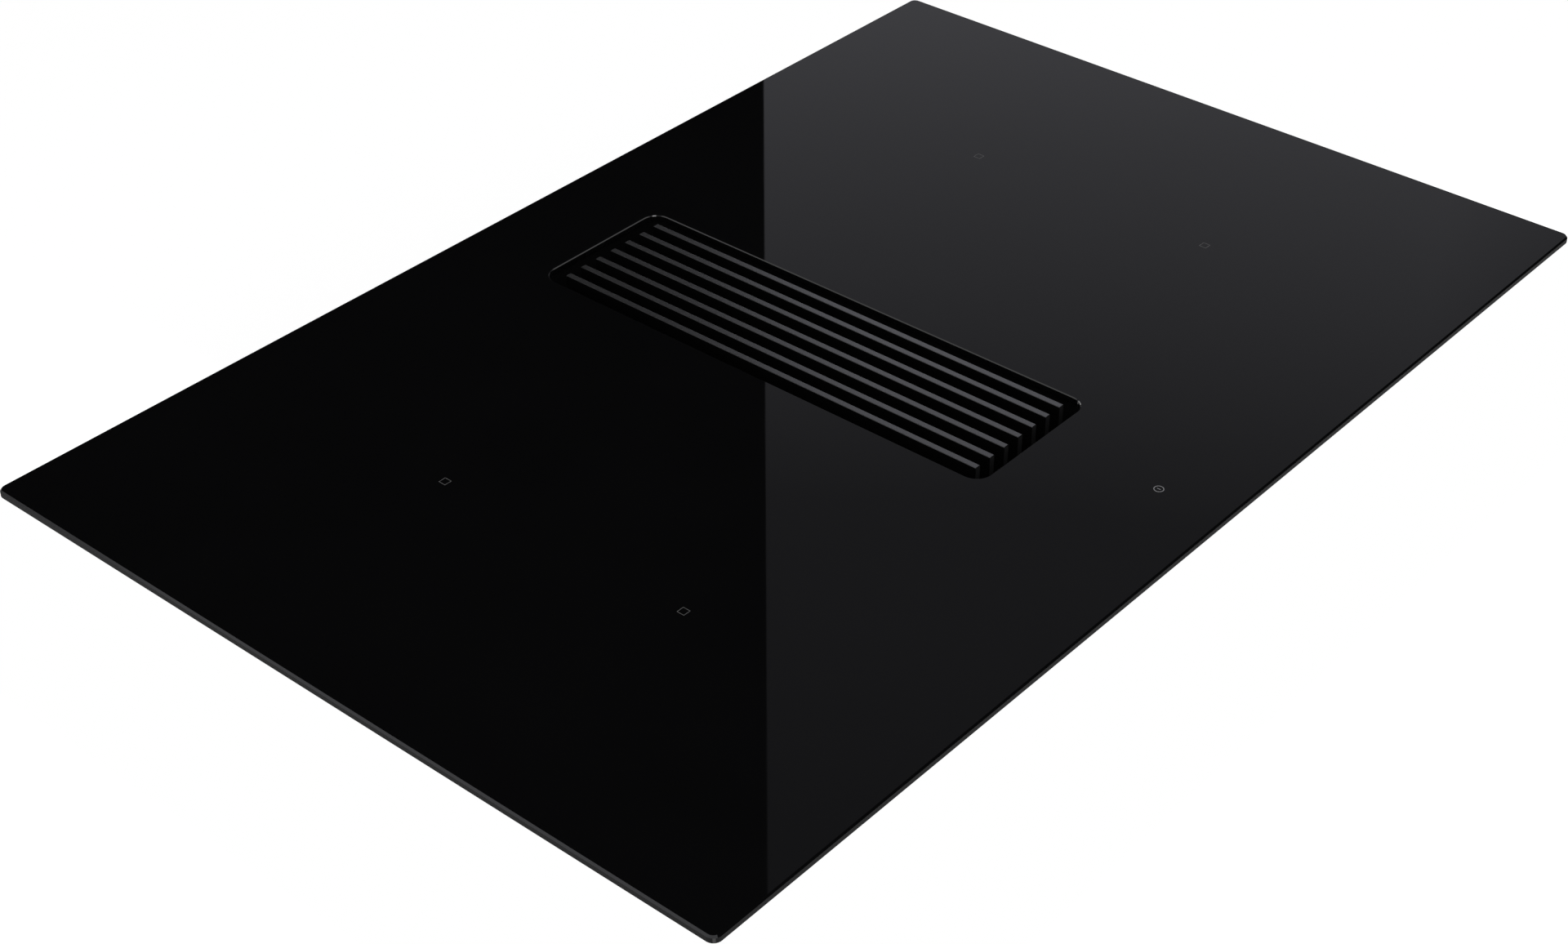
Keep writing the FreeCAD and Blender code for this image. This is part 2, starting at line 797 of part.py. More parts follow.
def scroll_region(extra):
    """The spiral's outline, grown by extra, with its outlet open to the back."""
    radius = scroll_radius.value + extra
    edges = []
    corner = None
    for index, centre in enumerate(scroll_centres()):
        reach = radius + index * scroll_step.value
        start, middle, end = arc_points(centre, reach, 90 * index, 90 * index + 90)
        edges.append(Part.Arc(start, middle, end).toShape())
        corner = corner or start
    back = scroll_outlet.value
    low = Vector(0, back, end.z)
    high = Vector(0, back, corner.z)
    for start, end in ((end, low), (low, high), (high, corner)):
        edges.append(Part.LineSegment(start, end).toShape())
    return Part.Face(Part.Wire(edges))


def tongue_face(cavity):
    """What stays solid between the wheel and the outlet."""
    centre = scroll_centres()[0]
    radius = scroll_radius.value
    turn = math.radians(tongue_angle.value)
    grow = 0 if cavity else scroll_wall.value
    low = centre[1] - radius * math.sin(turn) + grow
    near = centre[0] + radius * math.cos(turn)
    far = scroll_outlet.value
    corners = [Vector(0, near, low), Vector(0, far, low), Vector(0, far, centre[1]),
               Vector(0, near, centre[1]), Vector(0, near, low)]
    return Part.Face(Part.makePolygon(corners))


def scroll_cavity():
    face = scroll_region(0)
    centre = scroll_centres()[0]
    eye = Part.makeCylinder(scroll_radius.value, scroll_inner_width.value,
                            Vector(0, centre[0], centre[1]), Vector(1, 0, 0))
    length = Vector(scroll_inner_width.value, 0, 0)
    tongue = tongue_face(True).extrude(length).cut(eye)
    return face.extrude(length).cut(tongue)


def lug_centres():
    """Where the cover's screws stand round the spiral."""
    centres = []
    for angle in lug_angles:
        index = min(int(angle // 90), 2)
        centre = scroll_centres()[index]
        reach = scroll_radius.value + index * scroll_step.value + lug_radius.value
        turn = math.radians(angle)
        centres.append((centre[0] + reach * math.cos(turn), centre[1] + reach * math.sin(turn)))
    centres.append((outlet_lug_y.value, outlet_lug_z.value))
    return centres


def lug_rods(radius, start, length):
    along = Vector(1, 0, 0)
    return [Part.makeCylinder(radius, length, Vector(start, y, z), along) for y, z in lug_centres()]


def make_scroll_housing():
    wall = scroll_wall.value
    width = scroll_inner_width.value
    outer = scroll_region(wall).extrude(Vector(wall + width, 0, 0))
    outer = outer.fuse(lug_rods(lug_radius.value, 0, wall + width)).removeSplitter()
    cavity = scroll_cavity()
    cavity.translate(Vector(wall, 0, 0))
    hole = Part.makeCylinder(inlet_hole.value, wall + overrun.value, Vector(-overrun.value / 2, 0, 0),
                             Vector(1, 0, 0))
    screws = lug_rods(lug_hole.value, wall + width - lug_depth.value, lug_depth.value)
    shape = outer.cut([cavity, hole] + screws)
    shaped("scroll_housing", shape, scroll_left, fan_y, fan_z)


def make_scroll_cover():
    thickness = cover_thickness.value
    plate = scroll_region(scroll_wall.value).extrude(Vector(thickness, 0, 0))
    plate = plate.fuse(lug_rods(lug_radius.value, 0, thickness)).removeSplitter()
    hole = Part.makeCylinder(motor_hole.value, thickness, Vector(), Vector(1, 0, 0))
    shape = plate.cut([hole] + lug_rods(lug_hole.value, 0, thickness))
    shaped("scroll_cover", shape, cavity_right, fan_y, fan_z)


def make_fan_screws():
    start = cover_thickness.value
    solids = []
    for shank, head in zip(
        lug_rods(lug_hole.value, start - lug_depth.value, lug_depth.value),
        lug_rods(lug_head.value, start, lug_head_height.value),
    ):
        solids.append(shank.fuse(head))
    shaped("fan_screws", Part.makeCompound(solids), cavity_right, fan_y, fan_z)


def make_fan_gasket():
    gasket = tube(fan_gasket_outer, inlet_hole, fan_gasket_thickness, box_side, fan_y, fan_z, "X")
    keep(gasket, "fan_gasket")


def make_inlet_ring():
    """A bell mouth, drawn as its half section and turned about the fan's axis."""
    body = Body(cavity_left, fan_y, fan_z)
    section = body.sketch("XZ_Plane")
    inner = throat_outer - throat_wall
    polygon(section, [
        (ZERO, throat_outer + throat_wall), (ZERO, inlet_flange), (throat_wall, inlet_flange),
        (throat_wall, throat_outer + throat_wall), (throat_wall * 2, throat_outer),
        (throat_reach, throat_outer), (throat_reach, inner), (throat_wall, inner),
        (ZERO, inner + throat_wall / 2),
    ])
    body.revolve(section)
    keep(body.body, "inlet_ring")


# Air box and its drain

drain_inset = size("drain_inset", 47.2)
drain_radius = size("drain_hole_radius", 13)
drain_seal_radius = size("drain_seal_radius", 17.5)
drain_seal_thickness = size("drain_seal_thickness", 2)
drain_cap_radius = size("drain_cap_radius", 20)
drain_cap_thickness = size("drain_cap_thickness", 3)
drain_grip_width = size("drain_grip_width", 5)
drain_grip_height = size("drain_grip_height", 4)
drain_fit = size("drain_plug_fit", 0.3)

drain_y = shaft_length / 2 - drain_inset


def make_air_box():
    body = Body(ZERO, well_y, box_bottom)
    outline = body.sketch()
    rounded_rectangle(outline, collar_width, collar_length, collar_corner)
    body.pad(outline, box_top - box_bottom)
    flange = body.sketch("XY_Plane", box_top - box_flange_thickness - box_bottom)
    rounded_rectangle(flange, foot_width, foot_length, collar_corner)
    body.pad(flange, box_flange_thickness)
    hollow = body.sketch("XY_Plane", box_top - box_bottom)
    rounded_rectangle(hollow, *shaft_hollow)
    body.pocket(hollow, box_top - box_floor)
    ledge_y = shaft_length / 2 - end_ledge_depth / 2 + overrun / 2
    ledge_z = filter_bottom - rest_gap - end_ledge_height
    ledges = [
        box(end_ledge_width, end_ledge_depth + overrun, end_ledge_height, ZERO,
            well_y + side * ledge_y, ledge_z)
        for side in (-1, 1)
    ]
    holes = box_screw_holes()
    holes.append(rod(inlet_hole, box_side, shaft_width / 4, fan_y, fan_z, "X"))
    holes.append(rod(drain_radius, box_floor_thickness, ZERO, well_y + drain_y, box_bottom))
    keep(cut(fuse([body.body] + ledges), holes), "air_box")


def make_drain_cap():
    top = box_bottom - drain_seal_thickness - rest_gap
    bottom = top - drain_cap_thickness
    y = well_y + drain_y
    plug_top = box_floor
    plug = rod(drain_radius - drain_fit, plug_top - bottom, ZERO, y, bottom)
    disc = rod(drain_cap_radius, drain_cap_thickness, ZERO, y, bottom)
    grip = box(2 * drain_radius, drain_grip_width, drain_grip_height, ZERO, y, bottom - drain_grip_height)
    keep(fuse([plug, disc, grip]), "drain_cap")


def make_drain_seal():
    z = box_bottom - drain_seal_thickness
    seal = tube(drain_seal_radius, drain_radius, drain_seal_thickness, ZERO, well_y + drain_y, z)
    keep(seal, "drain_seal")


# Fan wheel and motor, in the fan's own frame: X runs to the right from the scroll's left wall

wheel_radius = size("wheel_radius", 48)
wheel_start = size("wheel_left_gap", 5)
wheel_width = size("wheel_width", 74)
wheel_disc = size("wheel_disc_thickness", 2)
wheel_ring = size("wheel_ring_width", 4)
blade_count = size("blade_count", 36)
blade_depth = size("blade_depth", 9)
blade_thickness = size("blade_thickness", 1)
blade_lean = size("blade_lean", 4)
can_radius = size("rotor_can_radius", 29)
can_wall = size("rotor_can_wall", 4.4)
can_length = size("rotor_can_length", 32)
can_end = size("rotor_can_end", 2.5)
sleeve_wall = size("wheel_sleeve_wall", 2)
shaft_radius = size("motor_shaft_radius", 2.5)
shaft_overhang = size("motor_shaft_overhang", 3)
air_gap = size("motor_air_gap", 0.6)
stack_length = size("stator_stack_length", 18)
stack_inset = size("stator_stack_inset", 6)
slot_count = size("stator_slot_count", 9)
slot_width = size("stator_slot_width", 5.4)
slot_inner = size("stator_slot_inner", 12)
slot_outer = size("stator_slot_outer", 21.5)
winding_overhang = size("winding_overhang", 3.5)
winding_gap = size("winding_gap", 0.1)
boss_radius = size("bearing_tube_radius", 8)
bearing_radius = size("bearing_radius", 5.5)
bearing_width = size("bearing_width", 5)
flange_radius = size("motor_flange_radius", 38)
flange_thickness = size("motor_flange_thickness", 3)
motor_hole = size("motor_hole_radius", 31)

wheel_left = cavity_left + wheel_start
wheel_right = wheel_left + wheel_width
can_right = wheel_right
can_left = can_right - can_length
boss_left = can_left + can_end + stack_inset / 2
boss_length = cover_right - boss_left


def make_impeller():
    """The wheel in its own frame, its left end at zero on X."""
    body = Body(wheel_left, fan_y, fan_z)
    hub_left = wheel_width - can_length - wheel_disc
    hub = body.sketch("XZ_Plane")
    polygon(hub, [
        (hub_left, shaft_radius), (hub_left, can_radius + sleeve_wall),
        (wheel_width - wheel_disc, can_radius + sleeve_wall), (wheel_width - wheel_disc, wheel_radius),
        (wheel_width, wheel_radius), (wheel_width, can_radius),
        (wheel_width - can_length, can_radius), (wheel_width - can_length, shaft_radius),
    ])
    body.revolve(hub)
    blade = body.sketch("YZ_Plane")
    inner = wheel_radius - blade_depth
    middle = wheel_radius - blade_depth / 2
    half = blade_thickness / 2
    polygon(blade, [
        (inner, -half), (middle, blade_lean / 4 - half), (wheel_radius - half, blade_lean - half),
        (wheel_radius - half, blade_lean + half), (middle, blade_lean / 4 + half), (inner, half),
    ])
    body.round(body.pad(blade, wheel_width - wheel_disc), "X_Axis", blade_count)
    rim = body.sketch("XZ_Plane")
    polygon(rim, [
        (ZERO, wheel_radius - wheel_ring), (ZERO, wheel_radius + half),
        (wheel_disc, wheel_radius + half), (wheel_disc, wheel_radius - wheel_ring),
    ])
    body.revolve(rim)
    keep(body.body, "impeller")


def make_rotor_can():
    body = Body(can_left, fan_y, fan_z)
    section = body.sketch("XZ_Plane")
    polygon(section, [
        (ZERO, shaft_radius), (ZERO, can_radius), (can_length, can_radius),
        (can_length, can_radius - can_wall), (can_end, can_radius - can_wall), (can_end, shaft_radius),
    ])
    body.revolve(section)
    keep(body.body, "rotor_can")


def make_motor_shaft():
    start = can_left - wheel_disc - shaft_overhang
    length = cover_right - rest_gap - start
    keep(rod(shaft_radius, length, start, fan_y, fan_z, "X"), "motor_shaft")


def stack_left():
    return can_left + can_end + stack_inset


def make_stator_core():
    body = Body(stack_left(), fan_y, fan_z)
    disc = body.sketch("YZ_Plane")
    circle(disc, can_radius - can_wall - air_gap)
    circle(disc, boss_radius)
    body.pad(disc, stack_length)
    slot = body.sketch("YZ_Plane", stack_length)
    rectangle(slot, slot_outer - slot_inner, slot_width, (slot_outer + slot_inner) / 2)
    body.round(body.pocket(slot, stack_length), "X_Axis", slot_count)
    keep(body.body, "stator_core")


def make_stator_windings():
    length = stack_length.value + 2 * winding_overhang.value
    depth = slot_outer.value - slot_inner.value - 2 * winding_gap.value
    width = slot_width.value - 2 * winding_gap.value
    count = int(slot_count.value)
    solids = []
    for index in range(count):
        corner = Vector(0, slot_inner.value + winding_gap.value, -width / 2)
        bundle = Part.makeBox(length, depth, width, corner)
        bundle.rotate(Vector(), Vector(1, 0, 0), 360 / count * index)
        solids.append(bundle)
    shaped("stator_windings", Part.makeCompound(solids), stack_left() - winding_overhang, fan_y, fan_z)


def make_motor_flange():
    disc = rod(flange_radius, flange_thickness, cover_right, fan_y, fan_z, "X")
    boss = rod(boss_radius, boss_length, boss_left, fan_y, fan_z, "X")
    bore = rod(bearing_radius, boss_length + flange_thickness, boss_left, fan_y, fan_z, "X")
    keep(cut(fuse([disc, boss]), [bore]), "motor_flange")


def make_motor_bearings():
    inner = shaft_radius + running_gap
    starts = (boss_left, cover_right - bearing_width)
    rings = [tube(bearing_radius, inner, bearing_width, x, fan_y, fan_z, "X") for x in starts]
    keep(group(rings), "motor_bearings")


# Outlet duct to the flat spigot at the back

duct_width = size("duct_width", 222)
duct_height = size("duct_height", 89)
duct_wall = size("duct_wall", 2)
duct_straight = size("duct_straight_length", 90)
duct_flange = size("duct_flange_width", 5)
duct_flange_thickness = size("duct_flange_thickness", 3)
flap_inset = size("flap_inset", 8)
flap_thickness = size("flap_thickness", 2)
flap_clearance = size("flap_clearance", 1.5)
flap_pin = size("flap_pin_radius", 2)
flap_pivot_drop = size("flap_pivot_drop", 5)
flap_stop_height = size("flap_stop_height", 6)
hanger_x = size("duct_hanger_x", 70)
hanger_inset = size("duct_hanger_inset", 35)
hanger_width = size("duct_hanger_width", 20)
hanger_foot = size("duct_hanger_foot", 34)
hanger_sheet = size("duct_hanger_sheet", 2)

outlet_y = fan_y + scroll_outlet
duct_end = tray_depth / 2
hanger_y = duct_end - hanger_inset
outlet_low = fan_z - scroll_step / 2 - scroll_radius - 2 * scroll_step
outlet_high = fan_z + scroll_step / 2 - scroll_radius * sine(tongue_angle)
duct_left = scroll_left
duct_low = outlet_low - duct_wall
straight_start = duct_end - duct_straight
duct_centre = duct_left + duct_width / 2
flap_y = straight_start + flap_inset
flap_pivot_z = duct_low + duct_height - duct_wall - flap_pivot_drop


def section_at(body, y, left, right, low, high):
    """A rectangle across the duct at one depth, in the duct's own frame."""
    drawing = body.sketch("XZ_Plane", -y)
    polygon(drawing, [(left, low), (right, low), (right, high), (left, high)])
    return drawing


def make_outlet_duct():
    body = Body(duct_left, outlet_y, duct_low)
    run = straight_start - outlet_y
    whole = duct_end - outlet_y
    inner_left = cavity_left - duct_left
    inner_right = cavity_right - duct_left
    low = duct_wall
    high = outlet_high - duct_low
    start = section_at(body, ZERO, ZERO, inner_right + duct_wall, ZERO, high + duct_wall)
    middle = section_at(body, run, ZERO, duct_width, ZERO, duct_height)
    body.loft("AdditiveLoft", [start, middle])
    straight = section_at(body, whole, ZERO, duct_width, ZERO, duct_height)
    body.pad(straight, duct_straight)
    flange = section_at(body, ZERO, ZERO, inner_right + duct_wall + duct_flange, ZERO,
                        high + duct_wall + duct_flange)
    body.pad(flange, duct_flange_thickness, True)
    near = section_at(body, ZERO, inner_left, inner_right, low, high)
    far = section_at(body, run, duct_wall, duct_width - duct_wall, low, duct_height - duct_wall)
    body.loft("SubtractiveLoft", [near, far])
    hollow = section_at(body, whole, duct_wall, duct_width - duct_wall, low, duct_height - duct_wall)
    body.pocket(hollow, duct_straight, True)
    stop = box(duct_width - duct_wall, flap_stop_height / 2, flap_stop_height, duct_centre,
               flap_y - flap_thickness / 2 - rest_gap - flap_stop_height / 4, duct_low + duct_wall / 2)
    bearing = rod(flap_pin + running_gap, duct_width, duct_left, flap_y, flap_pivot_z, "X")
    keep(cut(fuse([body.body, stop]), [bearing]), "outlet_duct")


def make_backdraft_flap():
    width = duct_width - 2 * duct_wall - 2 * flap_clearance
    bottom = duct_low + duct_wall + flap_clearance
    plate = box(width, flap_thickness, flap_pivot_z - bottom, duct_centre, flap_y, bottom)
    pin = rod(flap_pin, duct_width, duct_left, flap_y, flap_pivot_z, "X")
    keep(fuse([plate, pin]), "backdraft_flap")


def make_duct_hanger():
    top = tray_bottom - duct_low - duct_height
    section = [
        (ZERO, ZERO), (hanger_foot, ZERO), (hanger_foot, hanger_sheet), (hanger_sheet, hanger_sheet),
        (hanger_sheet, top - hanger_sheet), (hanger_foot, top - hanger_sheet),
        (hanger_foot, top), (ZERO, top),
    ]
    straps = [
        prism("XZ_Plane", section, hanger_width, duct_centre + side * hanger_x, hanger_y,
              duct_low + duct_height).body
        for side in (-1, 1)
    ]
    keep(group(straps), "duct_hanger")


# Induction coils, two on each side

plate_front_inset = size("coil_plate_front_inset", 58.3)
plate_back_inset = size("coil_plate_back_inset", 71.7)
mica_thickness = size("mica_thickness", 0.5)
coil_side_gap = size("coil_side_gap", 10.7)
coil_well_gap = size("coil_well_gap", 82.1)
coil_gap = size("coil_gap", 8.5)
coil_corner = size("coil_corner", 60)
coil_band = size("coil_band", 52)
coil_height = size("coil_height", 5)
former_margin = size("former_margin", 2)
former_thickness = size("former_thickness", 3)
ferrite_end_inset = size("ferrite_end_inset", 25)
ferrite_width = size("ferrite_width", 12)
ferrite_height = size("ferrite_height", 5)
ferrite_count = size("ferrites_per_coil", 8)
ferrite_ring_share = size("ferrite_ring_share", 0.57)
plate_side_margin = size("coil_plate_side_margin", 11)
plate_end_margin = size("coil_plate_end_margin", 4.75)
plate_thickness = size("coil_plate_thickness", 1.5)
plate_corner = size("coil_plate_corner", 8)
sensor_radius = size("sensor_radius", 7)
sensor_hole = size("sensor_hole_radius", 8)
spring_width = size("spring_width", 14)
spring_sheet = size("spring_sheet", 0.8)
spring_foot = size("spring_foot", 16)
spring_side_inset = size("spring_side_inset", 38)
spring_end_inset = size("spring_end_inset", 15)

coil_inner = well_width / 2 + coil_well_gap
coil_outer = frame_width / 2 - frame_flange - coil_side_gap
coil_width = coil_outer - coil_inner
zone_x = (coil_outer + coil_inner) / 2
plate_width = coil_width + 2 * plate_side_margin
plate_depth = tray_depth - plate_front_inset - plate_back_inset
zone_y = (plate_front_inset - plate_back_inset) / 2
zone_pitch = (plate_depth - 2 * plate_end_margin + coil_gap) / 2
coil_depth = zone_pitch - coil_gap
ferrite_length = coil_depth / 2 - ferrite_end_inset
spring_x = plate_width / 2 - spring_side_inset
spring_y = plate_depth / 2 - spring_end_inset
coil_top = glass_bottom - mica_thickness
coil_bottom = coil_top - coil_height
former_bottom = coil_bottom - former_thickness
ferrite_bottom = former_bottom - ferrite_height
plate_bottom = ferrite_bottom - plate_thickness


def coil_places():
    return [(side * zone_x, zone_y + end * zone_pitch / 2) for side in (-1, 1) for end in (-1, 1)]


def coil_ring(width, depth, corner, inner_width, inner_depth, inner_corner, thickness, z):
    return [
        ring((width, depth, corner), (inner_width, inner_depth, inner_corner), thickness, x, y, z).body
        for x, y in coil_places()
    ]


def make_coils():
    inner_width = coil_width - 2 * coil_band
    inner_depth = coil_depth - 2 * coil_band
    inner_corner = inner_depth / 4
    windings = coil_ring(coil_width, coil_depth, coil_corner, inner_width, inner_depth, inner_corner,
                         coil_height, coil_bottom)
    keep(group(windings), "coil_windings")
    former_width = coil_width + 2 * former_margin
    former_depth = coil_depth + 2 * former_margin
    hole = 2 * sensor_hole
    formers = coil_ring(former_width, former_depth, coil_corner, hole, hole, hole / 4,
                        former_thickness, former_bottom)
    keep(group(formers), "coil_formers")
    sheets = coil_ring(former_width, former_depth, coil_corner, hole, hole, hole / 4,
                       mica_thickness, coil_top)
    keep(group(sheets), "mica_sheets")


def make_ferrites():
    """Bars that lie like a star under each winding."""
    count = int(ferrite_count.value)
    reach_x = (coil_width / 2 * ferrite_ring_share).value
    reach_y = (coil_depth / 2 * ferrite_ring_share).value
    bars = []
    for index in range(count):
        turn = math.radians(360 / count * (index + 0.5))
        x = reach_x * math.cos(turn)
        y = reach_y * math.sin(turn)
        corner = Vector(-ferrite_length.value / 2, -ferrite_width.value / 2, 0)
        bar = Part.makeBox(ferrite_length.value, ferrite_width.value, ferrite_height.value, corner)
        bar.rotate(Vector(), Vector(0, 0, 1), math.degrees(math.atan2(y, x)))
        bar.translate(Vector(x, y, 0))
        bars.append(bar)
    stars = [shaped(None, Part.makeCompound(bars), x, y, ferrite_bottom) for x, y in coil_places()]
    keep(group(stars), "ferrite_bars")


def make_coil_plates():
    plates = []
    for side in (-1, 1):
        body = Body(side * zone_x, zone_y, plate_bottom)
        outline = body.sketch()
        rounded_rectangle(outline, plate_width, plate_depth, plate_corner)
        for end in (-1, 1):
            circle(outline, sensor_hole, ZERO, end * zone_pitch / 2)
        body.pad(outline, plate_thickness)
        plates.append(body.body)
    keep(group(plates), "coil_plates")


def make_sensors():
    """Each sensor stands on a small disc under the plate's hole and reaches up to the glass."""
    height = glass_bottom - plate_bottom
    base = ferrite_width / 4
    sensors = [
        fuse([rod(sensor_radius, height, x, y, plate_bottom),
              rod(sensor_hole + base, base, x, y, plate_bottom - base)])
        for x, y in coil_places()
    ]
    keep(group(sensors), "temperature_sensors")


def make_coil_springs():
    """Bent strips that stand on the tray's floor and press the plates up."""
    top = plate_bottom - tray_floor
    section = [
        (ZERO, ZERO), (spring_foot, ZERO), (spring_foot, spring_sheet), (spring_sheet, spring_sheet),
        (spring_sheet, top - spring_sheet), (spring_foot, top - spring_sheet),
        (spring_foot, top), (ZERO, top),
    ]
    springs = [
        prism("XZ_Plane", section, spring_width, side * zone_x + across * spring_x - spring_foot / 2,
              zone_y + end * spring_y - spring_width / 2, tray_floor).body
        for side in (-1, 1) for across in (-1, 1) for end in (-1, 1)
    ]
    keep(group(springs), "coil_springs")


# Inverter boards and their cooling

board_inset = size("power_board_inset", 115)
board_gap = size("power_board_gap", 5)
board_width = size("power_board_width", 170)
board_depth = size("power_board_depth", 230)
board_thickness = size("power_board_thickness", 1.6)
standoff_height = size("standoff_height", 6)
standoff_radius = size("standoff_radius", 3)
standoff_inset = size("standoff_inset", 8)
sink_width = size("heat_sink_width", 46)
sink_length = size("heat_sink_length", 150)
sink_base = size("heat_sink_base", 4)
sink_height = size("heat_sink_height", 23)
fin_count = size("heat_sink_fins", 8)
fin_thickness = size("heat_sink_fin_thickness", 1.6)
module_width = size("module_width", 5)
module_length = size("module_length", 16)
module_height = size("module_height", 20)
module_pitch = size("module_pitch", 30)
module_count = size("modules_per_board", 4)
capacitor_radius = size("capacitor_radius", 9)
capacitor_height = size("capacitor_height", 21)
capacitor_inset = size("capacitor_inset", 29)
capacitor_pitch = size("capacitor_pitch", 26)
capacitor_count = size("capacitors_per_board", 5)
film_length = size("film_capacitor_length", 30)
film_width = size("film_capacitor_width", 13)
film_height = size("film_capacitor_height", 19)
film_inset = size("film_capacitor_inset", 15)
fan_size = size("cooling_fan_size", 70)
fan_height = size("cooling_fan_height", 20)
fan_x = size("cooling_fan_x", 112)
fan_inset = size("cooling_fan_inset", 100)
fan_bore = size("cooling_fan_bore", 33)
rotor_radius = size("cooling_rotor_radius", 31.5)
rotor_hub = size("cooling_hub_radius", 15)
rotor_height = size("cooling_rotor_height", 15)
rotor_blades = size("cooling_blade_count", 9)
rotor_blade_thickness = size("cooling_blade_thickness", 1.6)
rotor_blade_lean = size("cooling_blade_lean", 6)
spider_thickness = size("spider_thickness", 2)
spider_arm = size("spider_arm_width", 5)
spider_pin = size("spider_pin_radius", 2)

fan_place_y = fan_inset - tray_depth / 2
board_x = tray_width / 2 - board_inset
board_y = fan_place_y + fan_size / 2 + board_gap + board_depth / 2
board_top = tray_floor + standoff_height + board_thickness
capacitor_x = board_width / 2 - capacitor_inset
film_y = board_depth / 2 - film_inset


def make_power_boards():
    boards = []
    for side in (-1, 1):
        body = Body(side * board_x, board_y, tray_floor + standoff_height)
        outline = body.sketch()
        rectangle(outline, board_width, board_depth)
        body.pad(outline, board_thickness)
        boards.append(body.body)
    keep(group(boards), "power_boards")


def make_board_standoffs():
    posts = [
        rod(standoff_radius, standoff_height, side * board_x + across * (board_width / 2 - standoff_inset),
            board_y + end * (board_depth / 2 - standoff_inset), tray_floor)
        for side in (-1, 1) for across in (-1, 1) for end in (-1, 1)
    ]
    keep(group(posts), "board_standoffs")


def make_heat_sinks():
    """A base plate with a row of upright fins, as an extruded bar."""
    sinks = []
    step = (sink_width - fin_thickness) / (fin_count - 1)
    for side in (-1, 1):
        body = Body(side * board_x, board_y, board_top)
        base = body.sketch()
        rectangle(base, sink_width, sink_length)
        body.pad(base, sink_base)
        fin = body.sketch()
        rectangle(fin, fin_thickness, sink_length, (fin_thickness - sink_width) / 2)
        body.row(body.pad(fin, sink_height), "X_Axis", step, fin_count)
        sinks.append(body.body)
    keep(group(sinks), "heat_sinks")


def make_power_modules():
    modules = []
    for side in (-1, 1):
        x = side * (board_x + sink_width / 2 + module_width / 2)
        for index in range(int(module_count.value)):
            y = board_y + (index - (module_count - 1) / 2) * module_pitch
            modules.append(box(module_width, module_length, module_height, x, y, board_top))
    keep(group(modules), "power_modules")


def make_board_capacitors():
    pieces = []
    for side in (-1, 1):
        x = side * (board_x - capacitor_x)
        for index in range(int(capacitor_count.value)):
            y = board_y + (index - (capacitor_count - 1) / 2) * capacitor_pitch
            pieces.append(rod(capacitor_radius, capacitor_height, x, y, board_top))
        for end in (-1, 1):
            pieces.append(box(film_length, film_width, film_height, side * board_x, board_y + end * film_y,
                              board_top))
    keep(group(pieces), "board_capacitors")


def make_cooling_fan_frames():
    frames = []
    for side in (-1, 1):
        x = side * fan_x
        body = box(fan_size, fan_size, fan_height, x, fan_place_y, tray_floor)
        bore = rod(fan_bore, fan_height, x, fan_place_y, tray_floor)
        arms = [
            box(2 * fan_bore + overrun, spider_arm, spider_thickness, x, fan_place_y, tray_floor),
            box(spider_arm, 2 * fan_bore + overrun, spider_thickness, x, fan_place_y, tray_floor),
            rod(rotor_hub, spider_thickness, x, fan_place_y, tray_floor),
            rod(spider_pin, rotor_height, x, fan_place_y, tray_floor),
        ]
        frames.append(fuse([cut(body, [bore])] + arms))
    keep(group(frames), "cooling_fan_frames")


def make_cooling_rotor(side, name):
    body = Body(side * fan_x, fan_place_y, tray_floor + spider_thickness + rest_gap)
    hub = body.sketch()
    circle(hub, rotor_hub)
    circle(hub, spider_pin + running_gap)
    body.pad(hub, rotor_height)
    blade = body.sketch()
    half = rotor_blade_thickness / 2
    inner = rotor_hub - half
    middle = (rotor_hub + rotor_radius) / 2
    tip = rotor_radius - half
    lean = side * rotor_blade_lean
    polygon(blade, [
        (inner, -half), (middle, lean / 4 - half), (tip, lean - half),
        (tip, lean + half), (middle, lean / 4 + half), (inner, half),
    ])
    body.round(body.pad(blade, rotor_height - spider_thickness), "Z_Axis", rotor_blades)
    keep(body.body, name)


# Touch control under the front of the glass

control_inset = size("control_inset", 28)
control_width = size("control_width", 300)
control_depth = size("control_depth", 36)
control_thickness = size("control_thickness", 1.6)
control_drop = size("control_drop", 8)
control_rail = size("control_rail_height", 3)
control_floor = size("control_bracket_floor", 2)
control_leg = size("control_leg_width", 12)
touch_radius = size("touch_spring_radius", 5)
touch_wall = size("touch_spring_wall", 0.9)
touch_pitch = size("touch_pitch", 28)
touch_count = size("touch_count", 9)
touch_inset = size("touch_inset", 22.5)
touch_x = size("touch_centre_x", 8)

control_y = control_inset - tray_depth / 2
touch_y = touch_inset - tray_depth / 2
control_top = glass_bottom - control_drop
control_bottom = control_top - control_thickness
bracket_bottom = control_bottom - control_rail - control_floor


def make_control_board():
    body = Body(touch_x, control_y, control_bottom)
    outline = body.sketch()
    rectangle(outline, control_width, control_depth)
    body.pad(outline, control_thickness)
    keep(body.body, "control_board")


def make_control_bracket():
    floor = box(control_width, control_depth, control_floor, touch_x, control_y, bracket_bottom)
    rail_y = (control_depth - control_rail) / 2
    rail_z = bracket_bottom + control_floor
    pieces = [floor]
    for side in (-1, 1):
        y = control_y + side * rail_y
        pieces.append(box(control_width, control_rail, control_rail, touch_x, y, rail_z))
    leg_height = bracket_bottom - tray_floor
    for place in (-1, 0, 1):
        x = touch_x + place * (control_width - control_leg) / 2
        pieces.append(box(control_leg, control_depth, leg_height, x, control_y, tray_floor))
    keep(fuse(pieces), "control_bracket")


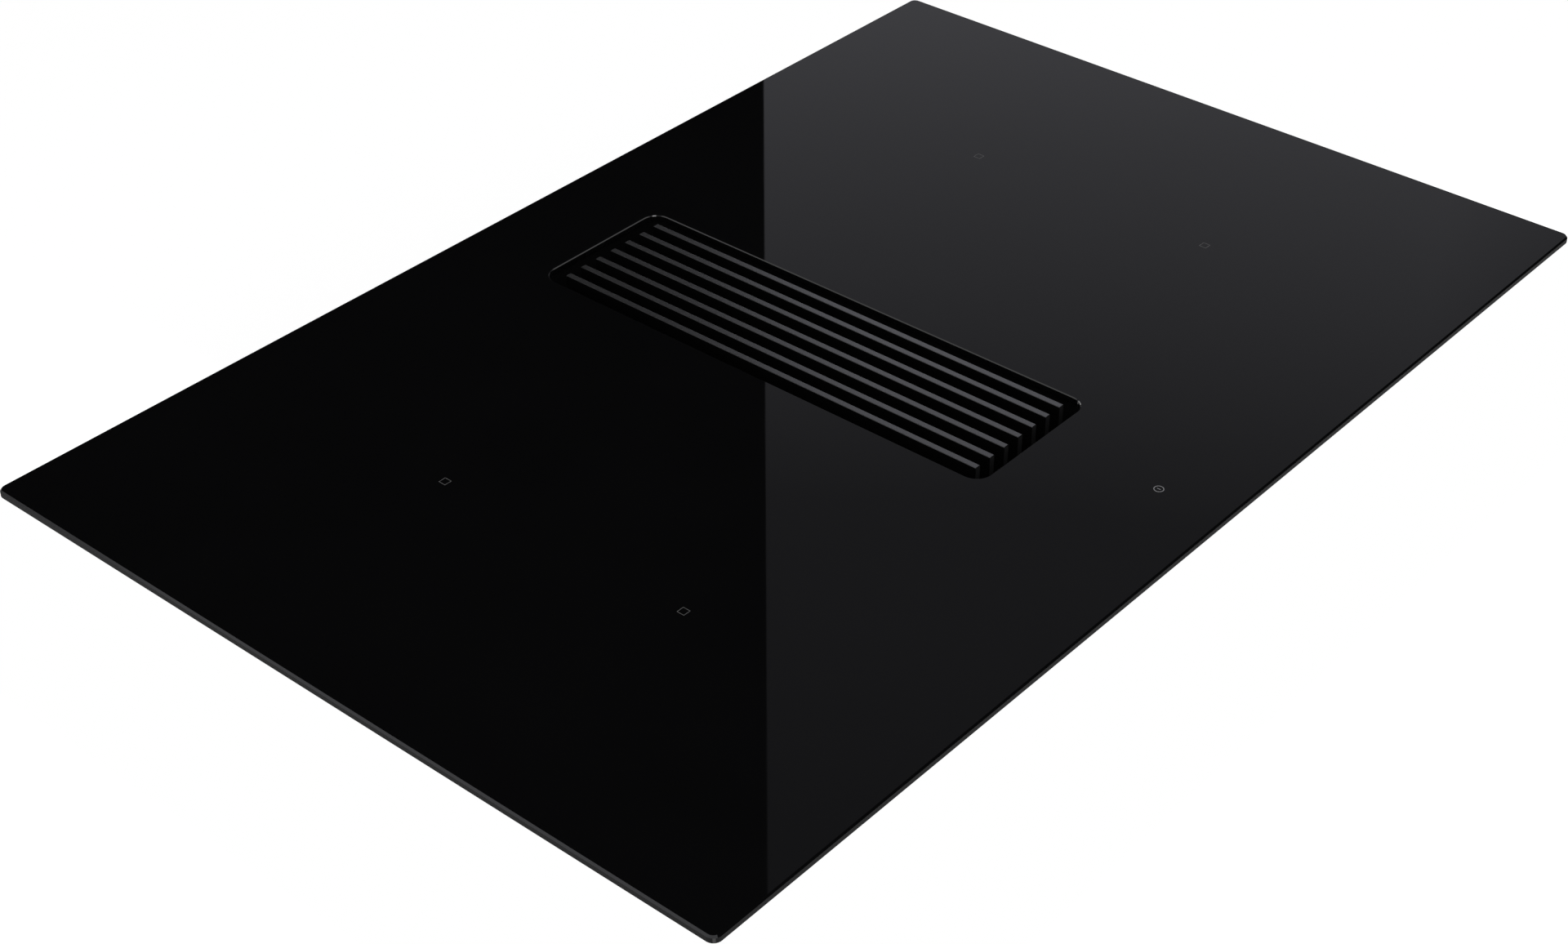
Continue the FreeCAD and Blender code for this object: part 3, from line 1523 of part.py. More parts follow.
def make_touch_springs():
    springs = [
        tube(touch_radius, touch_radius - touch_wall, control_drop,
             touch_x + (index - (touch_count - 1) / 2) * touch_pitch, touch_y, control_top)
        for index in range(int(touch_count.value))
    ]
    keep(group(springs), "touch_springs")


# Tray: drawn after what it holds, because its holes follow it

vent_length = size("vent_length", 56)
vent_width = size("vent_width", 4)
vent_pitch = size("vent_pitch", 9)
vent_count = size("vent_count", 7)
outlet_vent_side_inset = size("outlet_vent_side_inset", 70)
outlet_vent_end_inset = size("outlet_vent_end_inset", 35)
outlet_vent_count = size("outlet_vent_count", 5)
lead_hole_radius = size("lead_hole_radius", 9)


def make_base_tray():
    body = Body(ZERO, ZERO, tray_bottom)
    outline = body.sketch()
    rounded_rectangle(outline, tray_width, tray_depth, tray_corner)
    body.pad(outline, tray_height)
    hollow = body.sketch("XY_Plane", tray_height)
    rounded_rectangle(hollow, tray_inner_width, tray_inner_depth, tray_inner_corner)
    body.pocket(hollow, tray_height - tray_sheet)
    opening = body.sketch("XY_Plane", tray_sheet)
    rounded_rectangle(opening, collar_width + 2 * collar_fit, collar_length + 2 * collar_fit,
                      collar_corner + collar_fit, ZERO, well_y)
    body.pocket(opening, tray_sheet)
    outlet_vent_x = tray_width / 2 - outlet_vent_side_inset
    outlet_vent_y = tray_depth / 2 - outlet_vent_end_inset - (outlet_vent_count - 1) * vent_pitch / 2
    inlet_vent_y = fan_place_y - (vent_count - 1) * vent_pitch / 2
    for side in (-1, 1):
        fields = [
            (side * fan_x, inlet_vent_y, vent_count),
            (side * outlet_vent_x, outlet_vent_y, outlet_vent_count),
        ]
        for x, y, count in fields:
            slot = body.sketch("XY_Plane", tray_sheet)
            rounded_rectangle(slot, vent_length, vent_width, vent_width / 2.2, x, y)
            body.row(body.pocket(slot, tray_sheet), "Y_Axis", vent_pitch, count)
    holes = wall_holes() + box_screw_holes()
    holes.append(rod(lead_hole_radius, tray_sheet, lead_hole_x, terminal_y, tray_bottom))
    keep(cut(body.body, holes), "base_tray")


# Mains terminal box under the tray

terminal_side_inset = size("terminal_box_side_inset", 120)
terminal_end_inset = size("terminal_box_end_inset", 70)
terminal_width = size("terminal_box_width", 100)
terminal_depth = size("terminal_box_depth", 64)
terminal_height = size("terminal_box_height", 34)
terminal_wall = size("terminal_box_wall", 2)
terminal_lead_inset = size("terminal_lead_inset", 12)
hinge_pin = size("terminal_hinge_pin", 1.5)
hinge_barrel = size("terminal_hinge_barrel", 3.4)
hinge_offset = size("terminal_hinge_offset", 4.4)
hinge_length = size("terminal_hinge_length", 40)
knuckle_length = size("terminal_knuckle_length", 12)
cover_plate = size("terminal_cover_thickness", 2.4)
block_length = size("terminal_block_length", 62)
block_width = size("terminal_block_width", 22)
block_height = size("terminal_block_height", 16)
block_screw_radius = size("terminal_screw_radius", 2.6)
block_screw_depth = size("terminal_screw_depth", 5)
block_ways = size("terminal_ways", 5)
gland_bore = size("gland_bore_radius", 6.5)
gland_head = size("gland_head_radius", 12.5)
gland_head_length = size("gland_head_length", 14)
entry_width = size("cable_entry_width", 44)
entry_height = size("cable_entry_height", 30)
entry_lip = size("cable_entry_lip", 3)
entry_lip_thickness = size("cable_entry_lip_thickness", 2)

terminal_x = terminal_side_inset - tray_width / 2
terminal_y = tray_depth / 2 - terminal_end_inset
lead_hole_x = terminal_x + terminal_width / 2 - terminal_lead_inset
terminal_bottom = tray_bottom - terminal_height
terminal_back = terminal_y + terminal_depth / 2
hinge_y = terminal_y - terminal_depth / 2 - hinge_offset
hinge_z = terminal_bottom - rest_gap - cover_plate / 2
gland_z = tray_bottom - terminal_height / 2


def make_terminal_box():
    body = Body(terminal_x, terminal_y, terminal_bottom)
    outline = body.sketch()
    rectangle(outline, terminal_width, terminal_depth)
    body.pad(outline, terminal_height)
    hollow = body.sketch()
    rectangle(hollow, terminal_width - 2 * terminal_wall, terminal_depth - 2 * terminal_wall)
    body.pocket(hollow, terminal_height - terminal_wall, True)
    front = terminal_y - terminal_depth / 2
    knuckles = []
    for side in (-1, 1):
        x = terminal_x + side * (hinge_length + knuckle_length + 2 * rest_gap) / 2
        start = x - knuckle_length / 2
        knuckles.append(rod(hinge_barrel, knuckle_length, start, hinge_y, hinge_z, "X"))
        knuckles.append(box(knuckle_length, hinge_offset + terminal_wall / 2, hinge_barrel * 2, x,
                            front + terminal_wall / 4 - hinge_offset / 2, hinge_z + hinge_barrel / 2))
    pin = rod(hinge_pin, hinge_length + 2 * knuckle_length, terminal_x - hinge_length / 2 - knuckle_length,
              hinge_y, hinge_z, "X")
    holes = [
        box(entry_width, terminal_wall, entry_height, terminal_x, terminal_back - terminal_wall / 2,
            terminal_bottom),
        rod(lead_hole_radius, terminal_wall, lead_hole_x, terminal_y, tray_bottom, "-Z"),
    ]
    keep(cut(fuse([body.body, pin] + knuckles), holes), "terminal_box")


def make_terminal_cover():
    depth = terminal_depth + hinge_offset
    y = terminal_y - hinge_offset / 2
    plate = box(terminal_width, depth, cover_plate, terminal_x, y, hinge_z - cover_plate / 2)
    barrel = rod(hinge_barrel, hinge_length, terminal_x - hinge_length / 2, hinge_y, hinge_z, "X")
    left = terminal_x - terminal_width / 2
    bore = rod(hinge_pin + running_gap, terminal_width, left, hinge_y, hinge_z, "X")
    notches = []
    for side in (-1, 1):
        x = terminal_x + side * (hinge_length / 2 + terminal_width / 4)
        notches.append(box(terminal_width / 2, 2 * hinge_barrel + 2 * rest_gap, 2 * hinge_barrel, x, hinge_y,
                           hinge_z - hinge_barrel))
    keep(cut(fuse([cut(plate, notches), barrel]), [bore]), "terminal_cover")


def make_terminal_block():
    z = tray_bottom - terminal_wall - block_height
    block = box(block_length, block_width, block_height, terminal_x, terminal_y, z)
    step = block_length / block_ways
    screws = [
        rod(block_screw_radius, block_screw_depth, terminal_x + (index - (block_ways - 1) / 2) * step,
            terminal_y, z)
        for index in range(int(block_ways.value))
    ]
    keep(cut(block, [group(screws)]), "terminal_block")


def make_cable_gland():
    """A moulded entry that slides up into the slot in the box's back wall, held by a lip on each face."""
    inside = terminal_back - terminal_wall - entry_lip_thickness
    lips = [
        box(entry_width + 2 * entry_lip, entry_lip_thickness, entry_height, terminal_x,
            y + entry_lip_thickness / 2, terminal_bottom)
        for y in (inside, terminal_back)
    ]
    web = box(entry_width, terminal_wall, entry_height, terminal_x, terminal_back - terminal_wall / 2,
              terminal_bottom)
    head = rod(gland_head, gland_head_length, terminal_x, terminal_back, gland_z, "Y")
    length = gland_head_length + terminal_wall + entry_lip_thickness
    bore = rod(gland_bore, length, terminal_x, inside, gland_z, "Y")
    keep(cut(fuse([web, head] + lips), [bore]), "cable_gland")


# Clamps that hold the hob down from under the worktop

clamp_inset = size("clamp_inset", 15)
clamp_y = size("clamp_y", 110)
bracket_size = size("clamp_bracket_size", 28)
bracket_sheet = size("clamp_bracket_sheet", 2)
pivot_radius = size("clamp_pivot_radius", 4)
pivot_head = size("clamp_pivot_head_radius", 7)
pivot_head_height = size("clamp_pivot_head_height", 2)
arm_height = size("clamp_arm_height", 7)
arm_width = size("clamp_arm_width", 12)
arm_reach = size("clamp_arm_reach", 40)
arm_eye = size("clamp_eye_radius", 8)
set_screw_radius = size("set_screw_radius", 2.5)
set_screw_length = size("set_screw_length", 20)
set_screw_head = size("set_screw_head_radius", 4.5)
set_screw_head_height = size("set_screw_head_height", 3)

arm_top = tray_bottom - bracket_sheet - rest_gap
pivot_length = arm_height + 2 * rest_gap


def clamp_centre(side, end):
    return side * (tray_width / 2 - clamp_inset), end * clamp_y


def make_clamp_brackets():
    brackets = []
    for side in (-1, 1):
        for end in (-1, 1):
            x, y = clamp_centre(side, end)
            plate_z = tray_bottom - bracket_sheet
            brackets.append(fuse([
                box(bracket_size, bracket_size, bracket_sheet, x, y, plate_z),
                rod(pivot_radius, pivot_length, x, y, plate_z, "-Z"),
                rod(pivot_head, pivot_head_height, x, y, plate_z - pivot_length, "-Z"),
            ]))
    keep(group(brackets), "clamp_brackets")


def make_clamp(side, end, name):
    """An arm that points to the middle of the hob's side, with its set screw."""
    x, y = clamp_centre(side, end)
    z = arm_top - arm_height
    far = y - end * arm_reach
    eye = rod(arm_eye, arm_height, x, y, z)
    bar = box(arm_width, arm_reach, arm_height, x, y - end * arm_reach / 2, z)
    tip = rod(arm_width / 2, arm_height, x, far, z)
    hole = rod(pivot_radius + running_gap, arm_height, x, y, z)
    thread = rod(set_screw_radius, arm_height, x, far, z)
    arm = cut(fuse([eye, bar, tip]), [hole, thread])
    stud = rod(set_screw_radius, set_screw_length, x, far, arm_top, "-Z")
    head = rod(set_screw_head, set_screw_head_height, x, far, arm_top - set_screw_length, "-Z")
    keep(group([arm, fuse([stud, head])]), name)


def make_all():
    make_glass_plate()
    make_sealing_tape()
    make_adhesive()
    make_carrier_frame()
    make_base_tray()
    make_tray_screws()
    make_collar_gasket()
    make_inlet_collar()
    make_box_gasket()
    make_air_box()
    make_box_screws()
    make_grille()
    make_grille_pads()
    make_filter_frame()
    make_filter_mesh()
    make_drip_tray()
    make_drain_cap()
    make_drain_seal()
    make_inlet_ring()
    make_fan_gasket()
    make_scroll_housing()
    make_scroll_cover()
    make_fan_screws()
    make_impeller()
    make_rotor_can()
    make_motor_shaft()
    make_stator_core()
    make_stator_windings()
    make_motor_flange()
    make_motor_bearings()
    make_outlet_duct()
    make_backdraft_flap()
    make_duct_hanger()
    make_coils()
    make_ferrites()
    make_coil_plates()
    make_sensors()
    make_coil_springs()
    make_power_boards()
    make_board_standoffs()
    make_heat_sinks()
    make_power_modules()
    make_board_capacitors()
    make_cooling_fan_frames()
    make_cooling_rotor(-1, "cooling_fan_rotor_left")
    make_cooling_rotor(1, "cooling_fan_rotor_right")
    make_control_board()
    make_control_bracket()
    make_touch_springs()
    make_terminal_box()
    make_terminal_cover()
    make_terminal_block()
    make_cable_gland()
    make_clamp_brackets()
    for side, side_name in ((-1, "left"), (1, "right")):
        for end, end_name in ((-1, "front"), (1, "back")):
            make_clamp(side, end, f"clamp_{end_name}_{side_name}")


def check_and_write():
    document.recompute()
    for item in document.Objects:
        faults = [state for state in item.State if state in ("Invalid", "Error")]
        if faults:
            raise RuntimeError(f"{item.Name} ({item.Label}) is {faults}: {item.getStatusString()}")
    os.makedirs("parts", exist_ok=True)
    for part in parts:
        shape = part.Shape
        if shape.isNull() or not shape.isValid() or not shape.Solids:
            raise RuntimeError(f"{part.Label} has no valid solid")
        shape.exportStep(f"parts/{part.Label}.step")
        print(part.Label, len(shape.Solids), round(shape.Volume, 1))


make_all()
check_and_write()
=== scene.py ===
"""Finishes, fine pieces and a plain studio for a downdraft cooktop."""

import json
import math

import bmesh
import bpy
from bpy.props import FloatProperty, FloatVectorProperty, IntProperty, PointerProperty
from mathutils import Matrix, Vector


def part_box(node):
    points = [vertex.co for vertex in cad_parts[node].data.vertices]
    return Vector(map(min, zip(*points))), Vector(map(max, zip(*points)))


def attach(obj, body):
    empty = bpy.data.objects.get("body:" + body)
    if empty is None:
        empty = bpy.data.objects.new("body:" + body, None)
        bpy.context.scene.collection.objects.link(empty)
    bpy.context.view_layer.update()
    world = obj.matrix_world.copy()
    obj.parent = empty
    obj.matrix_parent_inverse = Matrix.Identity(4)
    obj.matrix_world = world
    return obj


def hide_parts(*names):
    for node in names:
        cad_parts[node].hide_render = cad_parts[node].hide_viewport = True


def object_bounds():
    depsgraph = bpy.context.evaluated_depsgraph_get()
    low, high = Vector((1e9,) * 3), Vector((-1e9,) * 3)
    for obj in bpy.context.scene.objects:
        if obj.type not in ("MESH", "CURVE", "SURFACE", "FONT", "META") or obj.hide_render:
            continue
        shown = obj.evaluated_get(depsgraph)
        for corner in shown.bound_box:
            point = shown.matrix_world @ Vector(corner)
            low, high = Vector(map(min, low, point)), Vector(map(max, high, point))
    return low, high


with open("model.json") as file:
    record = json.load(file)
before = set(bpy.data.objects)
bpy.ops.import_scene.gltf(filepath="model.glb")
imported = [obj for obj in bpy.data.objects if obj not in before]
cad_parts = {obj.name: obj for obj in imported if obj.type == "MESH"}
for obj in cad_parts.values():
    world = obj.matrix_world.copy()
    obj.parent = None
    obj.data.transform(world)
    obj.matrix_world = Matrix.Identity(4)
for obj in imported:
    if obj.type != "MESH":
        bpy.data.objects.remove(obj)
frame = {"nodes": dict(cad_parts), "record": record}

bl_info = {
    "name": "Downdraft Cooktop",
    "version": (1, 0, 0),
    "blender": (4, 5, 0),
    "location": "3D View > Sidebar > Cooktop",
    "description": "Finishes, fine pieces and a studio for a downdraft cooktop",
    "category": "Object",
}

cad_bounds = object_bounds()
glass_low, glass_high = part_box("glass_plate")

WHITE = (1.0, 1.0, 1.0, 1.0)
BLACK = (0.0, 0.0, 0.0, 1.0)


# Shader maths


class Value:
    """A socket in a material. A sum on it adds a Math node."""

    # A noise stays mostly between these two values.
    NOISE_LOW, NOISE_HIGH = 0.3, 0.7

    def __init__(self, finish, socket):
        self.finish = finish
        self.socket = socket

    def math(self, operation, *terms):
        return self.finish.node("ShaderNodeMath", {"operation": operation}, dict(enumerate(terms)))

    def __add__(self, other):
        return self.math("ADD", self, other)

    __radd__ = __add__

    def __sub__(self, other):
        return self.math("SUBTRACT", self, other)

    def __rsub__(self, other):
        return self.math("SUBTRACT", other, self)

    def __mul__(self, other):
        return self.math("MULTIPLY", self, other)

    __rmul__ = __mul__

    def __truediv__(self, other):
        return self.math("DIVIDE", self, other)

    def __rtruediv__(self, other):
        return self.math("DIVIDE", other, self)

    def __gt__(self, other):
        return self.math("GREATER_THAN", self, other)

    def __lt__(self, other):
        return self.math("LESS_THAN", self, other)

    def __abs__(self):
        return self.math("ABSOLUTE", self)

    def larger(self, other):
        return self.math("MAXIMUM", self, other)

    def smaller(self, other):
        return self.math("MINIMUM", self, other)

    def root(self):
        return self.math("SQRT", self)

    def repeated(self, step):
        """The distance from the middle of the step that the value lies in."""
        return abs(self.math("FLOORED_MODULO", self, step) - step / 2)

    def spread(self, low, high, first=0.0, last=1.0):
        """The value's range from low to high, stretched to first and last."""
        limits = {1: low, 2: high, 3: first, 4: last}
        return self.finish.node("ShaderNodeMapRange", {}, {0: self, **limits})

    def swing(self, first, last):
        """A noise's usual range, stretched to first and last."""
        return self.spread(self.NOISE_LOW, self.NOISE_HIGH, first, last)


class Finish:
    """A node tree, with a short call for each thing that a finish is made of."""

    def __init__(self, tree):
        self.tree = tree

    def node(self, kind, settings, inputs, output=0):
        """Adds a node, sets it up, fills its sockets and gives one of its outputs."""
        made = self.tree.nodes.new(kind)
        for name, setting in settings.items():
            if name == "stops":
                fill_ramp(made.color_ramp, setting)
            else:
                setattr(made, name, setting)
        for name, given in inputs.items():
            if isinstance(given, Value):
                self.tree.links.new(given.socket, made.inputs[name])
            else:
                made.inputs[name].default_value = given
        return Value(self, made.outputs[output])

    def place(self, stretch=(1, 1, 1), turn=(0, 0, 0)):
        """Object coordinates, stretched and turned by a Mapping node."""
        coordinates = self.node("ShaderNodeTexCoord", {}, {}, "Object")
        inputs = {"Vector": coordinates, "Rotation": turn, "Scale": stretch}
        return self.node("ShaderNodeMapping", {}, inputs)

    def axes(self, vector):
        """A vector's three parts."""
        split = self.node("ShaderNodeSeparateXYZ", {}, {0: vector}).socket.node
        return [Value(self, part) for part in split.outputs]

    def facing(self):
        return self.node("ShaderNodeNewGeometry", {}, {}, "Normal")

    def noise(self, scale, detail=3.0, vector=None, roughness=0.55):
        inputs = {"Scale": scale, "Detail": detail, "Roughness": roughness}
        return self.node("ShaderNodeTexNoise", {}, {"Vector": vector or self.place(), **inputs}, "Fac")

    def cells(self, scale, output="Distance", vector=None):
        inputs = {"Vector": vector or self.place(), "Scale": scale}
        return self.node("ShaderNodeTexVoronoi", {}, inputs, output)

    def blend(self, factor, first, second):
        """A colour between two others."""
        return self.node("ShaderNodeMix", {"data_type": "RGBA"}, {0: factor, 6: first, 7: second}, 2)

    def ramp(self, value, stops):
        return self.node("ShaderNodeValToRGB", {"stops": stops}, {"Fac": value})

    def relief(self, height, depth, strength):
        return self.node("ShaderNodeBump", {}, {"Height": height, "Distance": depth, "Strength": strength})

    def glow(self, colour, strength):
        return self.node("ShaderNodeEmission", {}, {"Color": colour, "Strength": strength})

    def mix(self, factor, first, second):
        """A shader between two others."""
        return self.node("ShaderNodeMixShader", {}, {0: factor, 1: first, 2: second})

    def show(self, shader):
        """Puts a shader on the material's output."""
        self.tree.links.new(shader.socket, self.tree.nodes["Material Output"].inputs["Surface"])


def fill_ramp(ramp, stops):
    while len(ramp.elements) < len(stops):
        ramp.elements.new(0.5)
    for element, (position, colour) in zip(ramp.elements, stops):
        element.position = position
        element.color = colour


def opaque(colour, factor=1.0):
    """A colour with its alpha, made lighter or darker by a factor."""
    return tuple(min(1.0, part * factor) for part in tuple(colour)[:3]) + (1.0,)


def surface(name, build, colour, constants, **details):
    """A material: build gives what varies, and the constants go straight on the shader."""
    material = bpy.data.materials.new(name)
    material.use_nodes = True
    material.diffuse_color = opaque(colour)
    finish = Finish(material.node_tree)
    shader = material.node_tree.nodes["Principled BSDF"]
    for socket, given in {**constants, **build(finish, colour, **details)}.items():
        if isinstance(given, Value):
            finish.tree.links.new(given.socket, shader.inputs[socket])
        else:
            shader.inputs[socket].default_value = given
    return material


# What each finish is made of. Depths, grains and pitches are in metres, and a scale of 2000 repeats each
# half millimetre.

# The upward part of a face's normal: under the first it is a side, and over the last a flat top.
SIDE_UPRIGHT, TOP_UPRIGHT = 0.3, 0.95


def black_glass(finish, colour, ground, well_x, well_low, well_high):
    """Polished glass with ground bevels round the well and at its sides, and faint wiping marks."""
    x, y, _ = finish.axes(finish.place())
    sideways, _, upright = finish.axes(finish.facing())
    bevel = (upright > SIDE_UPRIGHT) * (upright < TOP_UPRIGHT)
    near_well = (abs(x) < well_x) * (y > well_low) * (y < well_high)
    rim = bevel * near_well
    flank = bevel * (abs(sideways) > SIDE_UPRIGHT) * (1 - near_well)
    strokes = finish.place(stretch=(1.0, 3.0, 1.0), turn=(0, 0, 0.5))
    wiped = finish.noise(scale=5.0, detail=4.0, vector=strokes)
    fine = finish.noise(scale=900.0, detail=2.0)
    shade = finish.blend(finish.noise(scale=14.0), opaque(colour, 0.85), opaque(colour, 1.15))
    return {
        "Base Color": finish.blend(flank, finish.blend(rim, shade, opaque(ground)), opaque(ground, 3.0)),
        "Roughness": wiped.spread(0.35, 0.75, 0.01, 0.022) + (rim + flank) * 0.12,
        "Normal": finish.relief(fine, depth=0.00001, strength=0.02),
    }


def moulded_plastic(finish, colour, grain, gloss):
    """Spark-eroded mould texture with slight flow shading."""
    pits = finish.cells(scale=1 / grain)
    flow = finish.noise(scale=18.0, detail=4.0)
    return {
        "Base Color": finish.blend(flow, opaque(colour, 0.8), opaque(colour, 1.25)),
        "Roughness": flow.swing(gloss - 0.06, gloss + 0.06),
        "Normal": finish.relief(pits, depth=grain * 0.15, strength=0.5),
    }


def powder_coat(finish, colour, grain, gloss):
    """Stoved powder with its orange-peel surface."""
    peel = finish.noise(scale=1 / grain, detail=2.0)
    cloud = finish.noise(scale=22.0)
    return {
        "Base Color": finish.blend(cloud, opaque(colour, 0.85), opaque(colour, 1.2)),
        "Roughness": peel.swing(gloss - 0.05, gloss + 0.05),
        "Normal": finish.relief(peel, depth=grain * 0.2, strength=0.4),
    }


def satin_bars(finish, colour, grain):
    """Metal with its tops ground bright and painted shade on the rest: ends a little lighter as if lit from
    the front, flanks black as if shaded between the bars, chamfers darker than the flat tops.
    """
    blast = finish.noise(scale=1 / grain, detail=2.0)
    handled = finish.noise(scale=9.0, detail=4.0)
    _, along, upright = finish.axes(finish.facing())
    end = abs(along) > 0.7
    top = upright > 0.6
    flat_top = upright > 0.8
    # Painted light and shade on the bars' sides: the flanks near black as if shaded between the bars, the
    # ends a little lighter as if lit from the front.
    painted_side_shade = finish.blend(end, opaque(colour, 0.002), opaque(colour, 0.035))
    bright = finish.blend(handled, opaque(colour, 0.92), opaque(colour, 1.08))
    # Painted shade: the chamfers between flank and flat top are darkened to 0.12 of the top's colour.
    ground = finish.blend(flat_top, opaque(colour, 0.12), bright)
    return {
        "Base Color": finish.blend(top, painted_side_shade, ground),
        "Metallic": top * 0.955,
        "Roughness": blast.swing(0.2, 0.26) + (1 - top) * 0.4,
        "Normal": finish.relief(blast, depth=grain * 0.1, strength=0.2),
    }


def brushed_metal(finish, colour, stretch, gloss):
    """Long fine streaks along one axis."""
    streaks = finish.noise(scale=60.0, detail=5.0, vector=finish.place(stretch), roughness=0.7)
    stain = finish.noise(scale=11.0)
    return {
        "Base Color": finish.blend(streaks, opaque(colour, 0.82), opaque(colour, 1.12)),
        "Roughness": stain.swing(gloss - 0.05, gloss + 0.07) + streaks * 0.08,
        "Normal": finish.relief(streaks, depth=0.00002, strength=0.3),
    }


def zinc_sheet(finish, colour):
    """Hot-dip zinc: crystals of a centimetre or so, each with its own shade, under fine rolling lines."""
    warp = finish.noise(scale=60.0, detail=2.0)
    grey = finish.axes(finish.cells(scale=85.0, output="Color"))[0]
    rolled = finish.noise(scale=90.0, vector=finish.place(stretch=(1.0, 14.0, 1.0)))
    return {
        "Base Color": finish.blend(grey * 0.75 + warp * 0.25, opaque(colour, 0.78), opaque(colour, 1.12)),
        "Roughness": grey.spread(0.0, 1.0, 0.3, 0.46) + rolled * 0.06,
        "Normal": finish.relief(rolled, depth=0.00002, strength=0.25),
    }


def zinc_plating(finish, colour):
    """Bright plating with a faint yellow bloom."""
    bloom = finish.noise(scale=130.0)
    warm = (colour[0] * 1.1, colour[1] * 1.04, colour[2] * 0.86)
    return {
        "Base Color": finish.blend(bloom, opaque(colour), opaque(warm)),
        "Roughness": bloom.swing(0.24, 0.38),
        "Normal": finish.relief(finish.noise(scale=2500.0, detail=1.0), depth=0.00001, strength=0.3),
    }


def cast_metal(finish, colour):
    """Die-cast skin: flow marks and small pores."""
    pores = finish.cells(scale=900.0)
    flow = finish.noise(scale=35.0, detail=5.0)
    return {
        "Base Color": finish.blend(flow, opaque(colour, 0.75), opaque(colour, 1.1)),
        "Roughness": flow.swing(0.42, 0.58),
        "Normal": finish.relief(pores, depth=0.00012, strength=0.4),
    }


def soft_rubber(finish, colour, grain):
    """Dull rubber or foam: open cells, and dust that lies in them."""
    foam = finish.cells(scale=1 / grain)
    dust = finish.noise(scale=40.0, detail=4.0).spread(0.5, 0.8)
    pale = tuple(0.9 * part + 0.04 for part in tuple(colour)[:3])
    return {
        "Base Color": finish.blend(dust, opaque(colour), opaque(pale)),
        "Roughness": foam.spread(0.0, 0.6, 0.72, 0.9),
        "Normal": finish.relief(foam, depth=grain * 0.3, strength=0.7),
    }


def copper_turns(finish, colour, pitch, reach):
    """Enamelled wire, laid turn beside turn along what reach measures."""
    groove = reach.repeated(pitch) / (pitch / 2)
    strands = finish.noise(scale=1500.0, detail=2.0)
    shade = groove * 0.7 + strands * 0.3
    return {
        "Base Color": finish.blend(shade, opaque(colour, 1.15), opaque(colour, 0.35)),
        "Roughness": shade.spread(0.0, 1.0, 0.25, 0.5),
        "Normal": finish.relief(1 - groove, depth=pitch * 0.3, strength=0.8),
    }


def flat_coils(finish, colour, pitch, half, corner, middle, apart):
    """Four flat coils whose turns follow their rounded outline, apart from the middle along X and Y."""
    x, y, _ = finish.axes(finish.place())
    across = abs(abs(x - middle.x) - apart.x) - (half.x - corner)
    along = abs(abs(y - middle.y) - apart.y) - (half.y - corner)
    round_x = across.larger(0)
    round_y = along.larger(0)
    bend = (round_x * round_x + round_y * round_y).root()
    return copper_turns(finish, colour, pitch, bend + across.larger(along).smaller(0))


def bundled_wire(finish, colour, pitch):
    """Wire wound in layers, one over the other."""
    height = finish.axes(finish.place())[2]
    return copper_turns(finish, colour, pitch, height)


def laminations(finish, colour, pitch):
    """Stacked electrical sheets seen edge on along X."""
    x = finish.axes(finish.place())[0]
    seam = (x.repeated(pitch) / (pitch / 2)).spread(0.75, 1.0)
    stain = finish.noise(scale=200.0)
    return {
        "Base Color": finish.blend(seam * 0.7 + stain * 0.3, opaque(colour, 1.15), opaque(colour, 0.4)),
        "Roughness": stain.swing(0.38, 0.55),
        "Normal": finish.relief(1 - seam, depth=pitch * 0.2, strength=0.6),
    }


def sintered(finish, colour):
    """Pressed and fired: fine speckle and rubbed faces."""
    speckle = finish.noise(scale=1800.0, detail=2.0)
    rubbed = finish.noise(scale=70.0, detail=4.0)
    return {
        "Base Color": finish.blend(speckle * 0.5 + rubbed * 0.5, opaque(colour, 0.7), opaque(colour, 1.5)),
        "Roughness": rubbed.swing(0.5, 0.68),
        "Normal": finish.relief(speckle, depth=0.00004, strength=0.4),
    }


def layered_mica(finish, colour):
    """Flakes pressed into a sheet."""
    flakes = finish.cells(scale=160.0, output="Color", vector=finish.place(stretch=(1.0, 1.4, 1.0)))
    tone = finish.axes(flakes)[0]
    return {
        "Base Color": finish.blend(tone, opaque(colour, 0.75), opaque(colour, 1.15)),
        "Roughness": tone.spread(0.0, 1.0, 0.3, 0.5),
        "Normal": finish.relief(tone, depth=0.00005, strength=0.3),
    }


def circuit_board(finish, colour, pitch, track_width, pad_reach, tin):
    """Solder mask over copper tracks, which run one way or the other, with tinned pads between them."""
    x, y, _ = finish.axes(finish.place())
    patches = finish.cells(scale=220.0, output="Color", vector=finish.place(stretch=(1.0, 1.0, 0.0)))
    turned, dotted, _ = finish.axes(patches)
    runs_along = turned > 0.5
    across_x = x.repeated(pitch)
    across_y = y.repeated(pitch)
    track = (across_x < track_width) * runs_along + (across_y < track_width) * (1 - runs_along)
    pad = (across_x > pad_reach) * (across_y > pad_reach) * (dotted > 0.72)
    mask = finish.blend(track, opaque(colour, 0.8), opaque(colour, 1.7))
    return {
        "Base Color": finish.blend(pad, mask, opaque(tin)),
        "Roughness": 0.34 - pad * 0.08 + finish.noise(scale=300.0) * 0.05,
        "Metallic": pad * 0.9,
        "Normal": finish.relief(track + pad, depth=0.00004, strength=0.6),
    }


def shrink_sleeve(finish, colour, stripe_pitch, stripe_width, print_grey):
    """Printed sleeve on a can: a paler stripe down one side."""
    x = finish.axes(finish.place())[0]
    stripe = (x.repeated(stripe_pitch) < stripe_width) * 0.8
    wrinkle = finish.noise(scale=500.0, detail=2.0, vector=finish.place(stretch=(1.0, 1.0, 0.2)))
    return {
        "Base Color": finish.blend(stripe, opaque(colour), opaque(print_grey)),
        "Roughness": wrinkle.swing(0.25, 0.38),
        "Normal": finish.relief(wrinkle, depth=0.00005, strength=0.3),
    }


